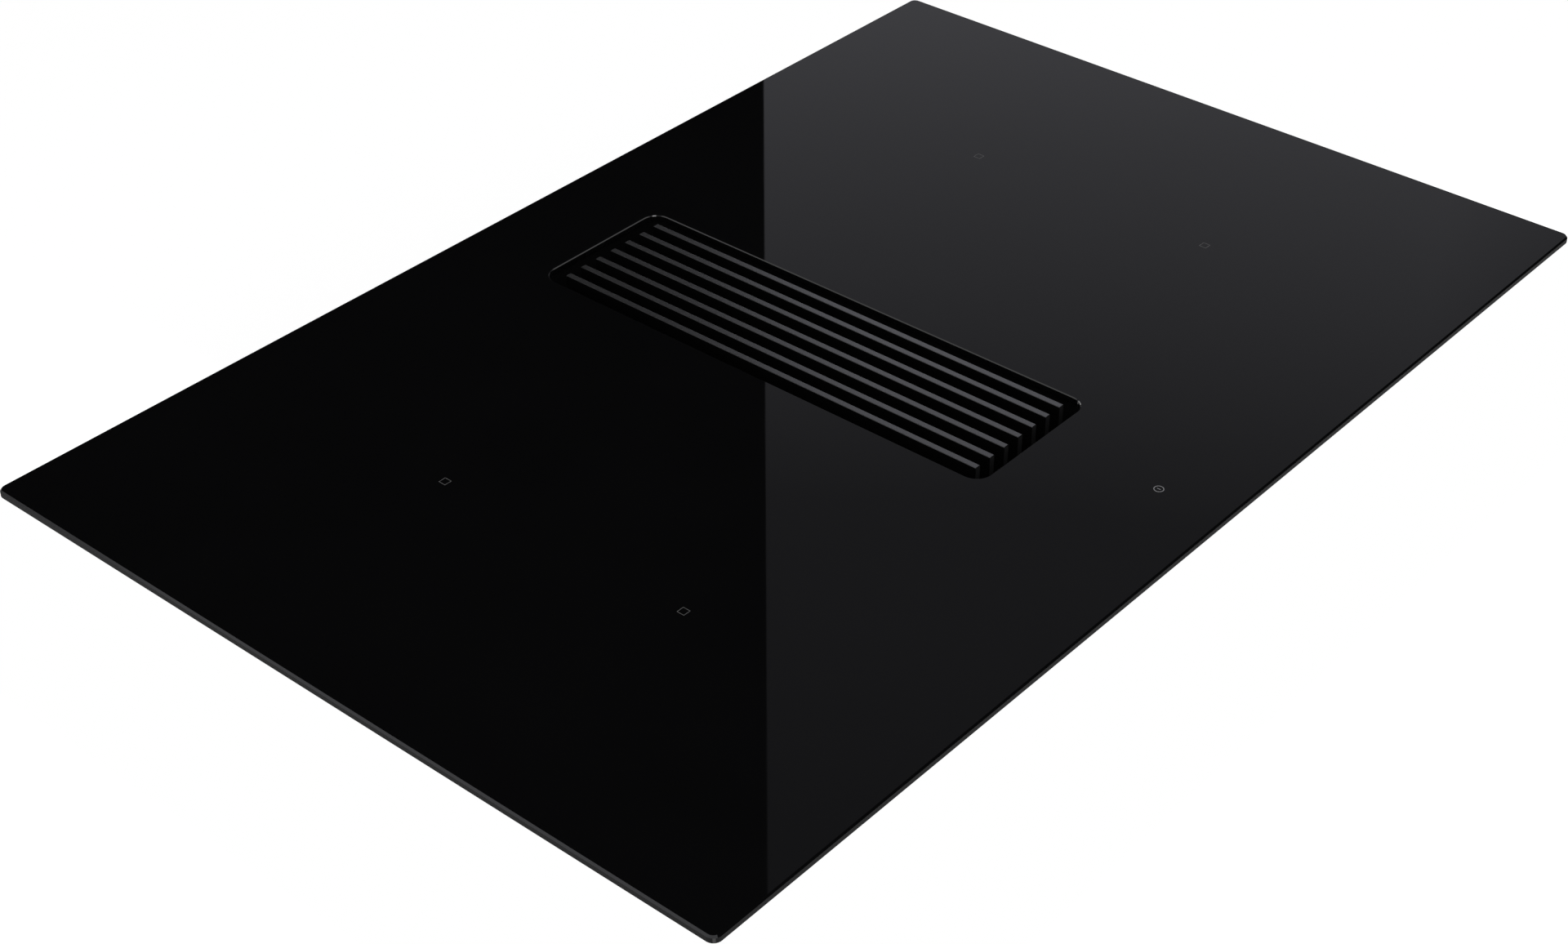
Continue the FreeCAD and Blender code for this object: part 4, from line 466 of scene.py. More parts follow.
def enamel_print(finish, colour):
    """Ceramic ink fired on glass, a little uneven."""
    dots = finish.noise(scale=6000.0, detail=1.0)
    return {
        "Base Color": finish.blend(dots, opaque(colour, 0.85), opaque(colour, 1.1)),
        "Roughness": dots.swing(0.35, 0.5),
    }


PLAIN = {}
METAL = {"Metallic": 1.0}

# Each finish: how it is built, its details, its constants and the CAD nodes that wear it.
FINISHES = {
    "foam_tape": (soft_rubber, {"grain": 0.0011}, PLAIN, ["sealing_tape", "fan_gasket"]),
    "silicone": (soft_rubber, {"grain": 0.0004}, PLAIN, [
        "glass_adhesive", "box_gasket", "grille_pads", "drain_seal",
    ]),
    "frame_paint": (powder_coat, {"grain": 0.0009, "gloss": 0.42}, PLAIN, ["carrier_frame"]),
    "galvanised_steel": (zinc_sheet, {}, METAL, [
        "base_tray", "duct_hanger", "clamp_brackets", "clamp_front_left", "clamp_front_right",
        "clamp_back_left", "clamp_back_right",
    ]),
    "screw_steel": (zinc_plating, {}, METAL, ["tray_screws", "box_screws", "fan_screws"]),
    # The collar and its gasket have a near-black record colour: partly their own black plastic, partly
    # painted shade down in the well.
    "collar_plastic": (moulded_plastic, {"grain": 0.0007, "gloss": 0.55}, {"Specular IOR Level": 0.15}, [
        "inlet_collar", "collar_gasket",
    ]),
    "black_plastic": (moulded_plastic, {"grain": 0.0007, "gloss": 0.5}, PLAIN, [
        "air_box", "inlet_ring", "scroll_housing", "scroll_cover", "outlet_duct",
        "terminal_box", "terminal_cover",
    ]),
    "grille_coat": (satin_bars, {"grain": 0.0003}, {"Specular IOR Level": 0.1}, ["grille"]),
    # The filter and its mesh have near-black record colours: partly a black coat, partly painted shade down
    # in the well.
    "filter_black": (powder_coat, {"grain": 0.0005, "gloss": 0.4}, PLAIN, ["filter_frame"]),
    "filter_mesh_black": (powder_coat, {"grain": 0.0003, "gloss": 0.45}, PLAIN, ["filter_mesh"]),
    "tray_plastic": (moulded_plastic, {"grain": 0.0005, "gloss": 0.42}, PLAIN, [
        "drip_tray", "drain_cap", "backdraft_flap",
    ]),
    "wheel_plastic": (moulded_plastic, {"grain": 0.0004, "gloss": 0.45}, PLAIN, [
        "impeller", "cooling_fan_rotor_left", "cooling_fan_rotor_right",
    ]),
    "motor_steel": (brushed_metal, {"stretch": (0.3, 6.0, 6.0), "gloss": 0.32}, METAL, ["rotor_can"]),
    "shaft_steel": (brushed_metal, {"stretch": (8.0, 1.0, 1.0), "gloss": 0.2}, METAL, [
        "motor_shaft", "motor_bearings",
    ]),
    "lamination_steel": (laminations, {"pitch": 0.0005}, METAL, ["stator_core"]),
    "cast_aluminium": (cast_metal, {}, METAL, ["motor_flange", "heat_sinks"]),
    "aluminium_sheet": (brushed_metal, {"stretch": (0.5, 9.0, 9.0), "gloss": 0.3}, METAL, ["coil_plates"]),
    "ferrite": (sintered, {}, PLAIN, ["ferrite_bars"]),
    "mica": (layered_mica, {}, PLAIN, ["mica_sheets"]),
    "former_plastic": (moulded_plastic, {"grain": 0.0006, "gloss": 0.5}, PLAIN, [
        "coil_formers", "control_bracket",
    ]),
    "sensor_ceramic": (sintered, {}, PLAIN, ["temperature_sensors"]),
    "circuit_board": (
        circuit_board,
        {"pitch": 0.00254, "track_width": 0.0004, "pad_reach": 0.00085, "tin": (0.6, 0.6, 0.58)},
        PLAIN, ["power_boards", "control_board"],
    ),
    "component_black": (moulded_plastic, {"grain": 0.0003, "gloss": 0.4}, PLAIN, [
        "power_modules", "cooling_fan_frames", "cable_gland",
    ]),
    "capacitor_sleeve": (
        shrink_sleeve,
        {"stripe_pitch": 0.02, "stripe_width": 0.0012, "print_grey": (0.55, 0.56, 0.58)},
        PLAIN, ["board_capacitors"],
    ),
    "terminal_plastic": (moulded_plastic, {"grain": 0.0004, "gloss": 0.4}, PLAIN, [
        "terminal_block", "board_standoffs",
    ]),
    "contact_steel": (zinc_plating, {}, METAL, ["coil_springs", "touch_springs"]),
}


# Sizes and colours that a user may change


def slot_colour(slot):
    """The base colour that the record gives a slot."""
    materials = frame["record"]["materials"]
    colours = {material["slot"]: material["base_color"] for material in materials}
    return tuple(colours[slot])[:3]


def tint(name, description, default):
    return FloatVectorProperty(name=name, description=description, default=default, subtype="COLOR",
                               min=0.0, max=1.0)


def base_colour(slot):
    label = slot.replace("_", " ").capitalize()
    return tint(label, f"Base colour of the {label.lower()}", slot_colour(slot))


def length(name, description, default):
    return FloatProperty(name=name, description=description, default=default, min=0.0, subtype="DISTANCE",
                         unit="LENGTH", precision=5)


def spot(name, description, default):
    return FloatVectorProperty(name=name, description=description, default=default, size=len(default),
                               subtype="XYZ", unit="LENGTH", precision=4)


def share(name, description, default, most=1.0):
    return FloatProperty(name=name, description=description, default=default, min=0.0, max=most)


def count(name, description, default, least, most):
    return IntProperty(name=name, description=description, default=default, min=least, max=most)


class CooktopColours(bpy.types.PropertyGroup):
    """The base colour of every finish, as the record gives it at first."""

    __annotations__ = {slot: base_colour(slot) for slot in ["glass_black", "copper", *FINISHES]}
    __annotations__["ground_edge"] = tint("Ground edge", "Bevel round the well", (0.012, 0.012, 0.0125))
    __annotations__["zone_ink"] = tint("Zone ink", "Print of the zone marks", (0.095, 0.095, 0.095))
    __annotations__["switch_ink"] = tint("Switch ink", "Print of the power symbol", (0.22, 0.22, 0.23))


class CooktopGlass(bpy.types.PropertyGroup):
    """Where the glass is ground."""

    lip: length("Lip", "How far the inlet collar reaches past the ground rim of the well", 0.014)
    margin: length("Margin", "How near a ground side face lies to the plate's outer size", 0.001)


class CooktopPrint(bpy.types.PropertyGroup):
    """Sizes and places of the marks that are printed on the glass."""

    back_left: spot("Back left", "Middle of the back left zone", (-0.2376, 0.0805))
    front_left: spot("Front left", "Middle of the front left zone", (-0.2374, -0.0940))
    back_right: spot("Back right", "Middle of the back right zone", (0.2416, 0.0811))
    front_right: spot("Front right", "Middle of the front right zone", (0.2412, -0.0940))
    square: length("Zone mark", "Side of each square mark", 0.005)
    line: length("Line", "Width of the squares' lines", 0.0003)
    power: spot("Power", "Middle of the power symbol", (0.008, -0.2175))
    ring: length("Power ring", "Outer diameter of the power symbol", 0.0058)
    ring_line: length("Ring line", "Width of the ring's line", 0.00042)
    ring_sides: count("Ring sides", "Sides of the ring", 48, 12, 96)
    bar: length("Power bar", "Length of the bar in the ring", 0.0023)
    ink: length("Ink", "Height of the fired ink over the glass", 0.00001)


class CooktopWire(bpy.types.PropertyGroup):
    """How the copper wire is laid."""

    pitch: length("Coil pitch", "From one turn of a flat coil to the next", 0.0026)
    corner: length("Coil corner", "Radius of a flat coil's outer corners", 0.06)
    motor_pitch: length("Motor pitch", "From one layer of the motor's wire to the next", 0.0009)


class CooktopMesh(bpy.types.PropertyGroup):
    """Sizes of the filter's mesh."""

    pitch: length("Pitch", "From one opening to the next", 0.0042)
    strand: length("Strand", "Width of the metal between two openings", 0.0013)
    thickness: length("Thickness", "Thickness of the mesh", 0.0008)
    side_room: length("Side room", "From the mesh to the CAD sheet's sides", 0.0008)
    end_room: length("End room", "From the mesh to the CAD sheet's top and bottom", 0.0002)


class CooktopScrews(bpy.types.PropertyGroup):
    """Shapes of the screws that show, as shares of their heads."""

    tray_dome: share("Tray dome", "Height of a tray screw's head as a share of its radius", 0.44)
    fan_dome: share("Fan dome", "Height of a fan screw's head as a share of its radius", 0.68)
    shank: share("Shank", "Shank's radius as a share of the head's", 0.52)
    socket: share("Socket", "Socket's radius as a share of the head's", 0.5)
    depth: share("Depth", "Socket's depth as a share of the head's height", 0.7)
    lobe: share("Lobe", "How far the socket's lobes are drawn in", 0.22)
    lobes: count("Lobes", "Lobes of a socket", 6, 4, 8)
    steps: count("Steps", "Sides of a screw", 24, 12, 48)


class CooktopStudio(bpy.types.PropertyGroup):
    """Light and surroundings."""

    ambient: share("Ambient", "Light from all round", 0.78, 2.0)
    key: FloatProperty(name="Key", description="Power of the soft lamp", default=16.0, min=0.0, unit="POWER")
    key_size: length("Key size", "Side of the soft lamp", 0.9)
    key_place: spot("Key place", "Where the soft lamp hangs", (-0.9, -1.3, 2.4))
    wall: length("Wall", "Radius of the room's wall", 2.6)
    wall_height: length("Wall height", "Height of the room's wall", 3.5)
    wall_sides: count("Wall sides", "Sides of the room's wall", 96, 12, 256)
    floor: length("Floor", "Side of the floor", 9.0)
    paint: share("Paint", "Grey of the floor's paint", 0.86)
    glow: share("Glow", "Strength of the white that the camera sees on the floor", 1.16, 2.0)
    shadow: share("Shadow", "How much of the floor's shadow shows behind the object", 0.38)


# Pieces

# Vertices of a new piece, and of a CAD node, that lie nearer to each other than this are one.
NEW_MERGED, CAD_MERGED = 1e-7, 1e-6


def as_mesh(name, bm):
    """A mesh from a bmesh. Spins and extrusions order their faces by chance, so they are sorted first."""
    bm.verts.index_update()
    bm.faces.sort(key=lambda face: face.verts[0].index * len(bm.verts) + face.verts[1].index)
    mesh = bpy.data.meshes.new(name)
    bm.to_mesh(mesh)
    bm.free()
    return mesh


def placed(name, bm, material):
    """An object in the scene, made from a bmesh."""
    piece = bpy.data.objects.new(name, as_mesh(name, bm))
    bpy.context.scene.collection.objects.link(piece)
    piece.data.materials.append(material)
    return piece


def finished(name, bm, material, body, slot, *replaced):
    """Turns a bmesh into a piece that rides on a body."""
    bmesh.ops.remove_doubles(bm, verts=bm.verts, dist=NEW_MERGED)
    bmesh.ops.recalc_face_normals(bm, faces=bm.faces)
    piece = placed(name, bm, material)
    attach(piece, body)
    if replaced:
        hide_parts(*replaced)
    return piece


def dress(node, material):
    """Gives a CAD node its finish."""
    materials = frame["nodes"][node].data.materials
    materials.clear()
    materials.append(material)


def outline(bm, points, closed):
    """Vertices at the points, joined by edges."""
    corners = [bm.verts.new(point) for point in points]
    last = len(corners) if closed else len(corners) - 1
    edges = [bm.edges.new((corners[i], corners[(i + 1) % len(corners)])) for i in range(last)]
    return corners + edges


def turned_round(bm, points, closed, x, y, steps):
    """Spins an outline once round an upright axis."""
    bmesh.ops.spin(bm, geom=outline(bm, points, closed), cent=(x, y, 0), axis=(0, 0, 1),
                   angle=2 * math.pi, steps=steps, use_merge=True)


def band(bm, x, y, half, line, low, high, sides):
    """A printed ring of so many sides, half wide from its centre to its sides."""
    turn = math.pi / sides
    outer = half / math.cos(turn)
    inner = (half - line) / math.cos(turn)
    points = [
        (x + reach * math.cos(turn), y + reach * math.sin(turn), z)
        for reach, z in ((inner, low), (outer, low), (outer, high), (inner, high))
    ]
    turned_round(bm, points, True, x, y, sides)


def printed_bar(bm, x, y, width, depth, low, high):
    place = Matrix.LocRotScale((x, y, (low + high) / 2), None, (width, depth, high - low))
    bmesh.ops.create_cube(bm, size=1, matrix=place)


class COOKTOP_OT_glass(bpy.types.Operator):
    """Polish the glass and grind the bevel round its well"""

    bl_idname = "cooktop.glass"
    bl_label = "Glass"

    def execute(self, context):
        colours = context.scene.cooktop_colours
        sizes = context.scene.cooktop_glass
        low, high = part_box("inlet_collar")
        material = surface(
            "Black glass", black_glass, colours.glass_black, {"IOR": 1.5},
            ground=colours.ground_edge, well_x=high.x - sizes.lip, well_low=low.y + sizes.lip,
            well_high=high.y - sizes.lip,
        )
        self.grind(material, colours.ground_edge, sizes.margin)
        dress("glass_plate", material)
        return {"FINISHED"}

    def grind(self, material, colour, margin):
        """Mixes in a matt shader on the plate's outer faces."""
        finish = Finish(material.node_tree)
        x, y, _ = finish.axes(finish.place())
        outer = (abs(x) > glass_high.x - margin).larger(abs(y) > glass_high.y - margin)
        upright = finish.axes(finish.facing())[2]
        scratches = finish.noise(scale=400.0, detail=4.0, vector=finish.place(stretch=(1.0, 1.0, 6.0)))
        matt = finish.node("ShaderNodeBsdfPrincipled", {}, {
            "Base Color": finish.blend(scratches, opaque(colour, 0.55), opaque(colour, 0.95)),
            "Roughness": 0.6, "Specular IOR Level": 0.1,
        })
        polished = Value(finish, finish.tree.nodes["Principled BSDF"].outputs[0])
        finish.show(finish.mix(outer * (upright < SIDE_UPRIGHT), polished, matt))


class COOKTOP_OT_print(bpy.types.Operator):
    """Print the zone marks and the power symbol"""

    bl_idname = "cooktop.print"
    bl_label = "Print"

    def execute(self, context):
        sizes = context.scene.cooktop_print
        colours = context.scene.cooktop_colours
        top = glass_high.z
        low, high = top - sizes.ink, top + sizes.ink
        bm = bmesh.new()
        for x, y in (sizes.back_left, sizes.front_left, sizes.back_right, sizes.front_right):
            band(bm, x, y, sizes.square / 2, sizes.line, low, high, sides=4)
        ink = surface("Zone ink", enamel_print, colours.zone_ink, PLAIN)
        finished("zone_marks", bm, ink, "chassis", "glass_black")
        bm = bmesh.new()
        x, y = sizes.power
        band(bm, x, y, sizes.ring / 2, sizes.ring_line, low, high, sizes.ring_sides)
        printed_bar(bm, x, y, sizes.ring_line, sizes.bar, low, high)
        ink = surface("Switch ink", enamel_print, colours.switch_ink, PLAIN)
        finished("power_symbol", bm, ink, "chassis", "glass_black")
        return {"FINISHED"}


class COOKTOP_OT_finishes(bpy.types.Operator):
    """Give every other CAD node its finish"""

    bl_idname = "cooktop.finishes"
    bl_label = "Finishes"

    def execute(self, context):
        colours = context.scene.cooktop_colours
        for slot, (build, details, constants, nodes) in FINISHES.items():
            label = slot.replace("_", " ").capitalize()
            material = surface(label, build, getattr(colours, slot), constants, **details)
            for node in nodes:
                dress(node, material)
        self.wind(colours.copper, context.scene.cooktop_wire)
        return {"FINISHED"}

    def wind(self, copper, sizes):
        """Lays wire on the four coils and on the motor's windings."""
        coil_low, coil_high = islands("coil_windings")[0]
        low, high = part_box("coil_windings")
        half = (coil_high - coil_low) / 2
        coils = surface(
            "Coil wire", flat_coils, copper, METAL, pitch=sizes.pitch, half=half, corner=sizes.corner,
            middle=(low + high) / 2, apart=(high - low) / 2 - half,
        )
        dress("coil_windings", coils)
        motor = surface("Motor wire", bundled_wire, copper, METAL, pitch=sizes.motor_pitch)
        dress("stator_windings", motor)


def islands(node):
    """The lowest and highest corner of each separate solid of a CAD node, from left to right."""
    bm = bmesh.new()
    bm.from_mesh(frame["nodes"][node].data)
    bmesh.ops.remove_doubles(bm, verts=bm.verts, dist=CAD_MERGED)
    left = set(bm.verts)
    found = []
    while left:
        ready = [left.pop()]
        solid = []
        while ready:
            vertex = ready.pop()
            solid.append(vertex.co.copy())
            near = {edge.other_vert(vertex) for edge in vertex.link_edges} & left
            left -= near
            ready.extend(near)
        low = Vector(min(point[axis] for point in solid) for axis in range(3))
        high = Vector(max(point[axis] for point in solid) for axis in range(3))
        found.append((low, high))
    bm.free()
    return sorted(found, key=lambda corners: tuple(corners[0]))


# The dome of a screw's head, as shares of its radius and height, and the tip, as shares of the shank's
# radius and length.
DOME_SHARES = ((0.72, 1.0), (0.93, 0.7), (1.0, 0.3), (1.0, 0.0))
TIP_SHARES = ((1.0, 0.0), (1.0, 0.85), (0.4, 1.0), (0.0, 1.0))


def screw_profile(head, height, stem, sizes):
    """Half of a screw's section, from its socket over its head to its tip."""
    socket = head * sizes.socket
    shank = head * sizes.shank
    floor = height * (1 - sizes.depth)
    hollow = [(0, 0, floor), (socket, 0, floor), (socket, 0, height)]
    dome = [(head * across, 0, height * up) for across, up in DOME_SHARES]
    tip = [(shank * across, 0, -stem * down) for across, down in TIP_SHARES]
    return hollow + dome + tip


def draw_in_lobes(bm, socket, sizes):
    """Pulls the round wall of a socket in between its lobes."""
    for vertex in bm.verts:
        reach = math.hypot(vertex.co.x, vertex.co.y)
        if math.isclose(reach, socket, rel_tol=0.02):
            wave = 1 + math.cos(sizes.lobes * math.atan2(vertex.co.y, vertex.co.x))
            vertex.co.xy *= 1 - sizes.lobe * wave / 2


def make_screws(node, name, dome, material, sizes):
    """Domed screws with lobed sockets, one for each solid of the node, heads away from the middle."""
    bm = bmesh.new()
    for low, high in islands(node):
        span = high - low
        axis = max(range(3), key=lambda index: span[index])
        side = 1 if low[axis] + high[axis] > 0 else -1
        head = min(span) / 2
        height = head * dome
        way = Vector((0, 0, 0))
        way[axis] = side
        seat = (low + high) / 2
        seat[axis] = (high if side > 0 else low)[axis] - side * height
        lone = bmesh.new()
        profile = screw_profile(head, height, span[axis] - height, sizes)
        turned_round(lone, profile, False, 0, 0, sizes.steps)
        draw_in_lobes(lone, head * sizes.socket, sizes)
        turned = Matrix.Translation(seat) @ way.to_track_quat("Z", "Y").to_matrix().to_4x4()
        bmesh.ops.transform(lone, matrix=turned, verts=lone.verts)
        spare = as_mesh("screw", lone)
        bm.from_mesh(spare)
        bpy.data.meshes.remove(spare)
    finished(name, bm, material, "chassis", "screw_steel", node)


class COOKTOP_OT_screws(bpy.types.Operator):
    """Make the screws that show, with their sockets"""

    bl_idname = "cooktop.screws"
    bl_label = "Screws"

    def execute(self, context):
        sizes = context.scene.cooktop_screws
        material = surface("Screw plating", zinc_plating, context.scene.cooktop_colours.screw_steel, METAL)
        make_screws("tray_screws", "tray_screw_set", sizes.tray_dome, material, sizes)
        make_screws("fan_screws", "fan_screw_set", sizes.fan_dome, material, sizes)
        return {"FINISHED"}


def mesh_panel(bm, low, high, pitch, strand):
    """A flat panel of square openings between two lines that run along Y."""
    across = high - low
    along = Vector((0, across.y, 0))
    side = Vector((across.x, 0, across.z))
    rows = round(side.length / pitch)
    columns = round(across.y / pitch)
    first = len(bm.verts)
    grid = bmesh.ops.create_grid(bm, x_segments=rows, y_segments=columns, size=0.5)
    for vertex in grid["verts"]:
        vertex.co = low + side * (vertex.co.x + 0.5) + along * (vertex.co.y + 0.5)
    bm.verts.ensure_lookup_table()
    fresh = set(bm.verts[first:])
    cells = [face for face in bm.faces if face.verts[0] in fresh]
    bmesh.ops.inset_individual(bm, faces=cells, thickness=strand / 2)
    bmesh.ops.delete(bm, geom=cells, context="FACES_ONLY")


class COOKTOP_OT_filter(bpy.types.Operator):
    """Make the two panels of the filter's mesh"""

    bl_idname = "cooktop.filter"
    bl_label = "Filter mesh"

    def execute(self, context):
        sizes = context.scene.cooktop_mesh
        colour = context.scene.cooktop_colours.filter_mesh_black
        bm = bmesh.new()
        for low, high in islands("filter_mesh"):
            outward = 1 if low.x + high.x > 0 else -1
            inner, outer = (low.x, high.x) if outward > 0 else (high.x, low.x)
            room = sizes.side_room * outward
            start = Vector((inner + room, low.y, low.z + sizes.end_room))
            end = Vector((outer - room, high.y, high.z - sizes.end_room))
            mesh_panel(bm, start, end, sizes.pitch, sizes.strand)
        material = surface("Filter wire", powder_coat, colour, PLAIN, **FINISHES["filter_mesh_black"][1])
        piece = finished("filter_mesh_panels", bm, material, "filter", "filter_mesh_black", "filter_mesh")
        wall = piece.modifiers.new("Thickness", "SOLIDIFY")
        wall.thickness = sizes.thickness
        wall.offset = 0.0
        return {"FINISHED"}


# Studio

# The photograph's camera, worked out from the plate's four corners. The edge of the pale reflection in the
# glass lies beside the middle of the view, by EDGE_TURN.
CAMERA = Vector((-1.0163, -0.8270, 0.8523))
VIEW = Vector((0.61963, 0.52978, -0.57912))
LENS = 61.56
SENSOR = 36.0
SHIFT = -0.00068
EDGE_TURN = 0.0084

# The floor turns white for the camera between these places along X and along Y.
WHITE_LEFT = (-0.05, -0.2)
WHITE_FRONT = (0.05, -0.1)

# The card's outer edge as shares of the plate's outline, its distance from the camera as a share of the
# plate's, and how far in from the plate's outer size the plate's outline is looked for.
CARD_SHARES = Vector((1.25, 1.4, 1.0))
CARD_NEAR_SHARE = 0.2
CARD_INSET = 0.01

# The dark walls' light parts. A pair says where one starts and where it is full.
EDGE_BLUR = (-0.001, 0.001)
PALE_END = (-1.2, -1.8)
PALE_BACK = (0.0, -0.05)
PANEL_SIDE = (1.9, 2.2)
PANEL_HEIGHT = (1.75, 1.95)
GLEAM_MIDDLE = 0.3
GLEAM_HALF = 0.9
GLEAM_BOTTOM = 0.4
GLEAM_TOP = 2.0
GLEAM_TONE = (2.5, 2.5, 2.5, 1.0)

# Shares of the wall's height with the tone of the pale part there, and how much stronger its blue is.
WALL_TONE_SHARES = ((0.0, 0.1), (0.22, 0.42), (0.28, 0.4), (0.36, 0.31), (0.57, 0.118), (0.9, 0.083))
WALL_BLUE = 1.09


def staged(name, bm, material):
    piece = placed(name, bm, material)
    return piece


def only_seen_by(piece, seen):
    for ray in ("camera", "diffuse", "glossy", "transmission", "volume_scatter", "shadow"):
        setattr(piece, f"visible_{ray}", ray == seen)


def bare_material(name):
    """A material without a shader, and its node tree."""
    material = bpy.data.materials.new(name)
    material.use_nodes = True
    nodes = material.node_tree.nodes
    nodes.remove(nodes["Principled BSDF"])
    return material, Finish(material.node_tree)


def seen_rays(finish):
    """1 for the rays that see the background, and 0 for those that light the object."""
    camera, glossy, through = [
        finish.node("ShaderNodeLightPath", {}, {}, f"Is {kind} Ray")
        for kind in ("Camera", "Glossy", "Transmission")
    ]
    return camera.larger(glossy).larger(through)


def raised(bm, edges):
    """Draws out a strip of faces from edges, and gives the strip's new vertices."""
    strip = bmesh.ops.extrude_edge_only(bm, edges=edges)
    return [item for item in strip["geom"] if isinstance(item, bmesh.types.BMVert)]


class COOKTOP_OT_studio(bpy.types.Operator):
    """Set the floor, the card, the room's walls, the light and the camera"""

    bl_idname = "cooktop.studio"
    bl_label = "Studio"

    def execute(self, context):
        studio = context.scene.cooktop_studio
        self.light(context.scene, studio)
        self.floor(studio)
        self.card()
        self.walls(studio)
        self.camera(context.scene)
        context.scene.view_settings.view_transform = "Standard"
        return {"FINISHED"}

    def light(self, scene, studio):
        """Even light from all round, and one large soft lamp over the front left."""
        world = bpy.data.worlds.new("Studio")
        scene.world = world
        world.use_nodes = True
        finish = Finish(world.node_tree)
        background = world.node_tree.nodes["Background"]
        background.inputs["Color"].default_value = WHITE
        strength = seen_rays(finish) * (1 - studio.ambient) + studio.ambient
        finish.tree.links.new(strength.socket, background.inputs["Strength"])
        lamp = bpy.data.lights.new("Key", "AREA")
        lamp.shape = "SQUARE"
        lamp.size = studio.key_size
        lamp.energy = studio.key
        key = bpy.data.objects.new("Key", lamp)
        scene.collection.objects.link(key)
        key.location = studio.key_place
        key.rotation_euler = (-key.location).to_track_quat("-Z", "Y").to_euler()

    def floor(self, studio):
        """A pale floor that keeps the shadow behind the object and stays white before it."""
        material, finish = bare_material("Pale floor")
        paint = finish.node("ShaderNodeBsdfDiffuse", {}, {"Color": opaque([studio.paint] * 3)})
        x, y, _ = finish.axes(finish.place())
        before = x.spread(*WHITE_LEFT).larger(y.spread(*WHITE_FRONT))
        white = seen_rays(finish) * (1 - studio.shadow + before * studio.shadow)
        finish.show(finish.mix(white, paint, finish.glow(WHITE, studio.glow)))
        bm = bmesh.new()
        level = Matrix.Translation((0, 0, cad_bounds[0].z))
        bmesh.ops.create_grid(bm, size=studio.floor / 2, matrix=level)
        staged("floor", bm, material)

    def card(self):
        """A white card near the camera. It hides what a worktop would below the plate's near edges."""
        material, finish = bare_material("White card")
        finish.show(finish.glow(WHITE, 1.0))
        middle_z = (glass_low.z + glass_high.z) / 2
        reach = glass_high.xy - Vector((CARD_INSET, CARD_INSET))
        corners = [
            vertex.co for vertex in frame["nodes"]["glass_plate"].data.vertices
            if vertex.co.z < middle_z and (abs(vertex.co.x) > reach.x or abs(vertex.co.y) > reach.y)
        ]
        corners.sort(key=lambda point: math.atan2(point.y, point.x))
        bm = bmesh.new()
        around = outline(bm, corners, True)
        outer = raised(bm, [item for item in around if isinstance(item, bmesh.types.BMEdge)])
        bmesh.ops.scale(bm, vec=CARD_SHARES, verts=outer)
        for face in list(bm.faces):
            middle = face.calc_center_median()
            on_left = middle.x < -reach.x and middle.y < reach.y
            in_front = middle.y < -reach.y and middle.x < reach.x
            if not (on_left or in_front):
                bmesh.ops.delete(bm, geom=[face], context="FACES")
        nearer = Matrix.Translation(CAMERA) @ Matrix.Scale(CARD_NEAR_SHARE, 4) @ Matrix.Translation(-CAMERA)
        bmesh.ops.transform(bm, matrix=nearer, verts=bm.verts)
        only_seen_by(staged("card", bm, material), "camera")

    def walls(self, studio):
        """Dark walls that only reflections see, pale behind the right of the plate and on the far left."""
        material, finish = bare_material("Studio wall")
        x, y, z = finish.axes(finish.place())
        edge = Vector((VIEW.x, VIEW.y)).normalized()
        edge.rotate(Matrix.Rotation(EDGE_TURN, 2))
        beside = (x - CAMERA.x) * edge.y - (y - CAMERA.y) * edge.x
        left = (y - x) * math.sqrt(0.5)
        right_part = beside.spread(*EDGE_BLUR).larger((x + y).spread(*PALE_BACK))
        pale = right_part * left.spread(*PALE_END, 1.0, 0.0)
        stops = [(at, (tone, tone, tone * WALL_BLUE, 1.0)) for at, tone in WALL_TONE_SHARES]
        lit = finish.blend(pale, BLACK, finish.ramp(z / studio.wall_height, stops))
        panel = abs(left).spread(*PANEL_SIDE) * z.spread(*PANEL_HEIGHT)
        gleam = (abs(x - GLEAM_MIDDLE) < GLEAM_HALF) * (y > 0) * (z > GLEAM_BOTTOM) * (z + x < GLEAM_TOP)
        colour = finish.blend(gleam, finish.blend(panel, lit, WHITE), GLEAM_TONE)
        finish.show(finish.glow(colour, 1.0))
        bm = bmesh.new()
        bmesh.ops.create_circle(bm, segments=studio.wall_sides, radius=studio.wall)
        top = raised(bm, bm.edges[:])
        bmesh.ops.translate(bm, verts=top, vec=(0, 0, studio.wall_height))
        bmesh.ops.contextual_create(bm, geom=top)
        only_seen_by(staged("walls", bm, material), "glossy")

    def camera(self, scene):
        data = bpy.data.cameras.new("Camera")
        data.lens = LENS
        data.sensor_width = SENSOR
        data.shift_y = SHIFT
        camera = bpy.data.objects.new("Camera", data)
        scene.collection.objects.link(camera)
        camera.location = CAMERA
        camera.rotation_euler = VIEW.to_track_quat("-Z", "Y").to_euler()
        scene.camera = camera


class COOKTOP_PT_panel(bpy.types.Panel):
    """Every operator of the cooktop, and its sizes and colours"""

    bl_idname = "COOKTOP_PT_panel"
    bl_label = "Cooktop"
    bl_space_type = "VIEW_3D"
    bl_region_type = "UI"
    bl_category = "Cooktop"

    def draw(self, context):
        for operator in OPERATORS:
            self.layout.operator(operator.bl_idname)
        for name, group in GROUPS.items():
            box = self.layout.box()
            for row in group.__annotations__:
                box.prop(getattr(context.scene, name), row)


GROUPS = {
    "cooktop_colours": CooktopColours,
    "cooktop_glass": CooktopGlass,
    "cooktop_print": CooktopPrint,
    "cooktop_wire": CooktopWire,
    "cooktop_mesh": CooktopMesh,
    "cooktop_screws": CooktopScrews,
    "cooktop_studio": CooktopStudio,
}

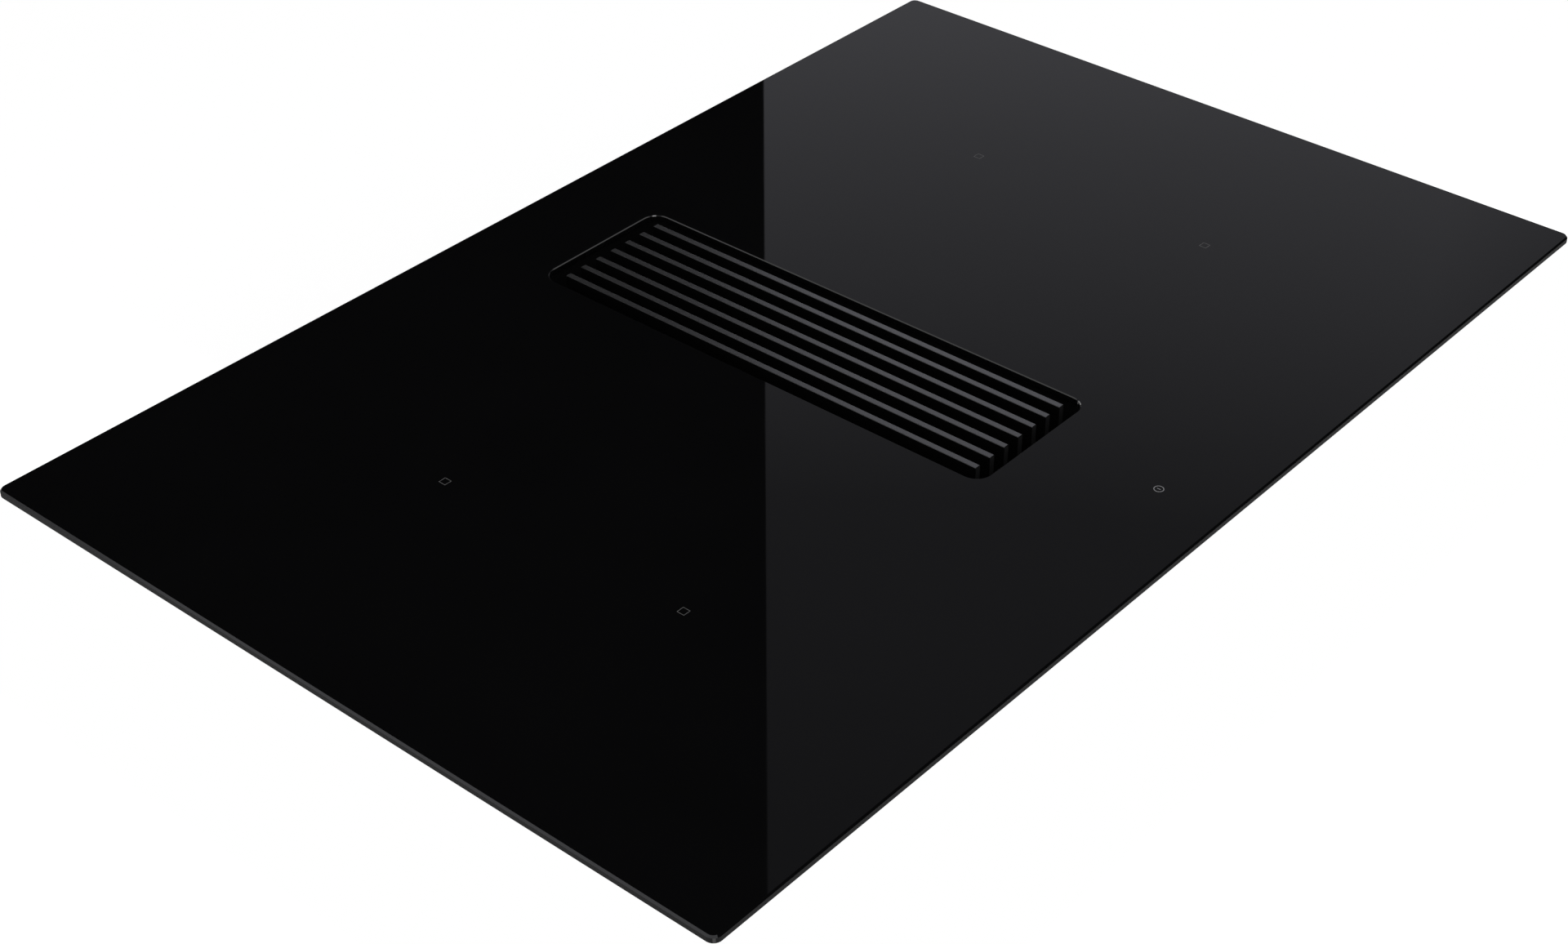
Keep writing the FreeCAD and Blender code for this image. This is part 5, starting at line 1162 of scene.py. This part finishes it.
OPERATORS = [
    COOKTOP_OT_studio, COOKTOP_OT_finishes, COOKTOP_OT_glass, COOKTOP_OT_print, COOKTOP_OT_screws,
    COOKTOP_OT_filter,
]


def register():
    for entry in [*GROUPS.values(), *OPERATORS, COOKTOP_PT_panel]:
        bpy.utils.register_class(entry)
    for name, group in GROUPS.items():
        setattr(bpy.types.Scene, name, PointerProperty(type=group))


def unregister():
    for name in GROUPS:
        delattr(bpy.types.Scene, name)
    for entry in [COOKTOP_PT_panel, *OPERATORS, *GROUPS.values()]:
        bpy.utils.unregister_class(entry)


def main():
    register()
    bpy.ops.cooktop.studio()
    bpy.ops.cooktop.finishes()
    bpy.ops.cooktop.glass()
    bpy.ops.cooktop.print()
    bpy.ops.cooktop.screws()
    bpy.ops.cooktop.filter()


if __name__ == "__main__":
    main()
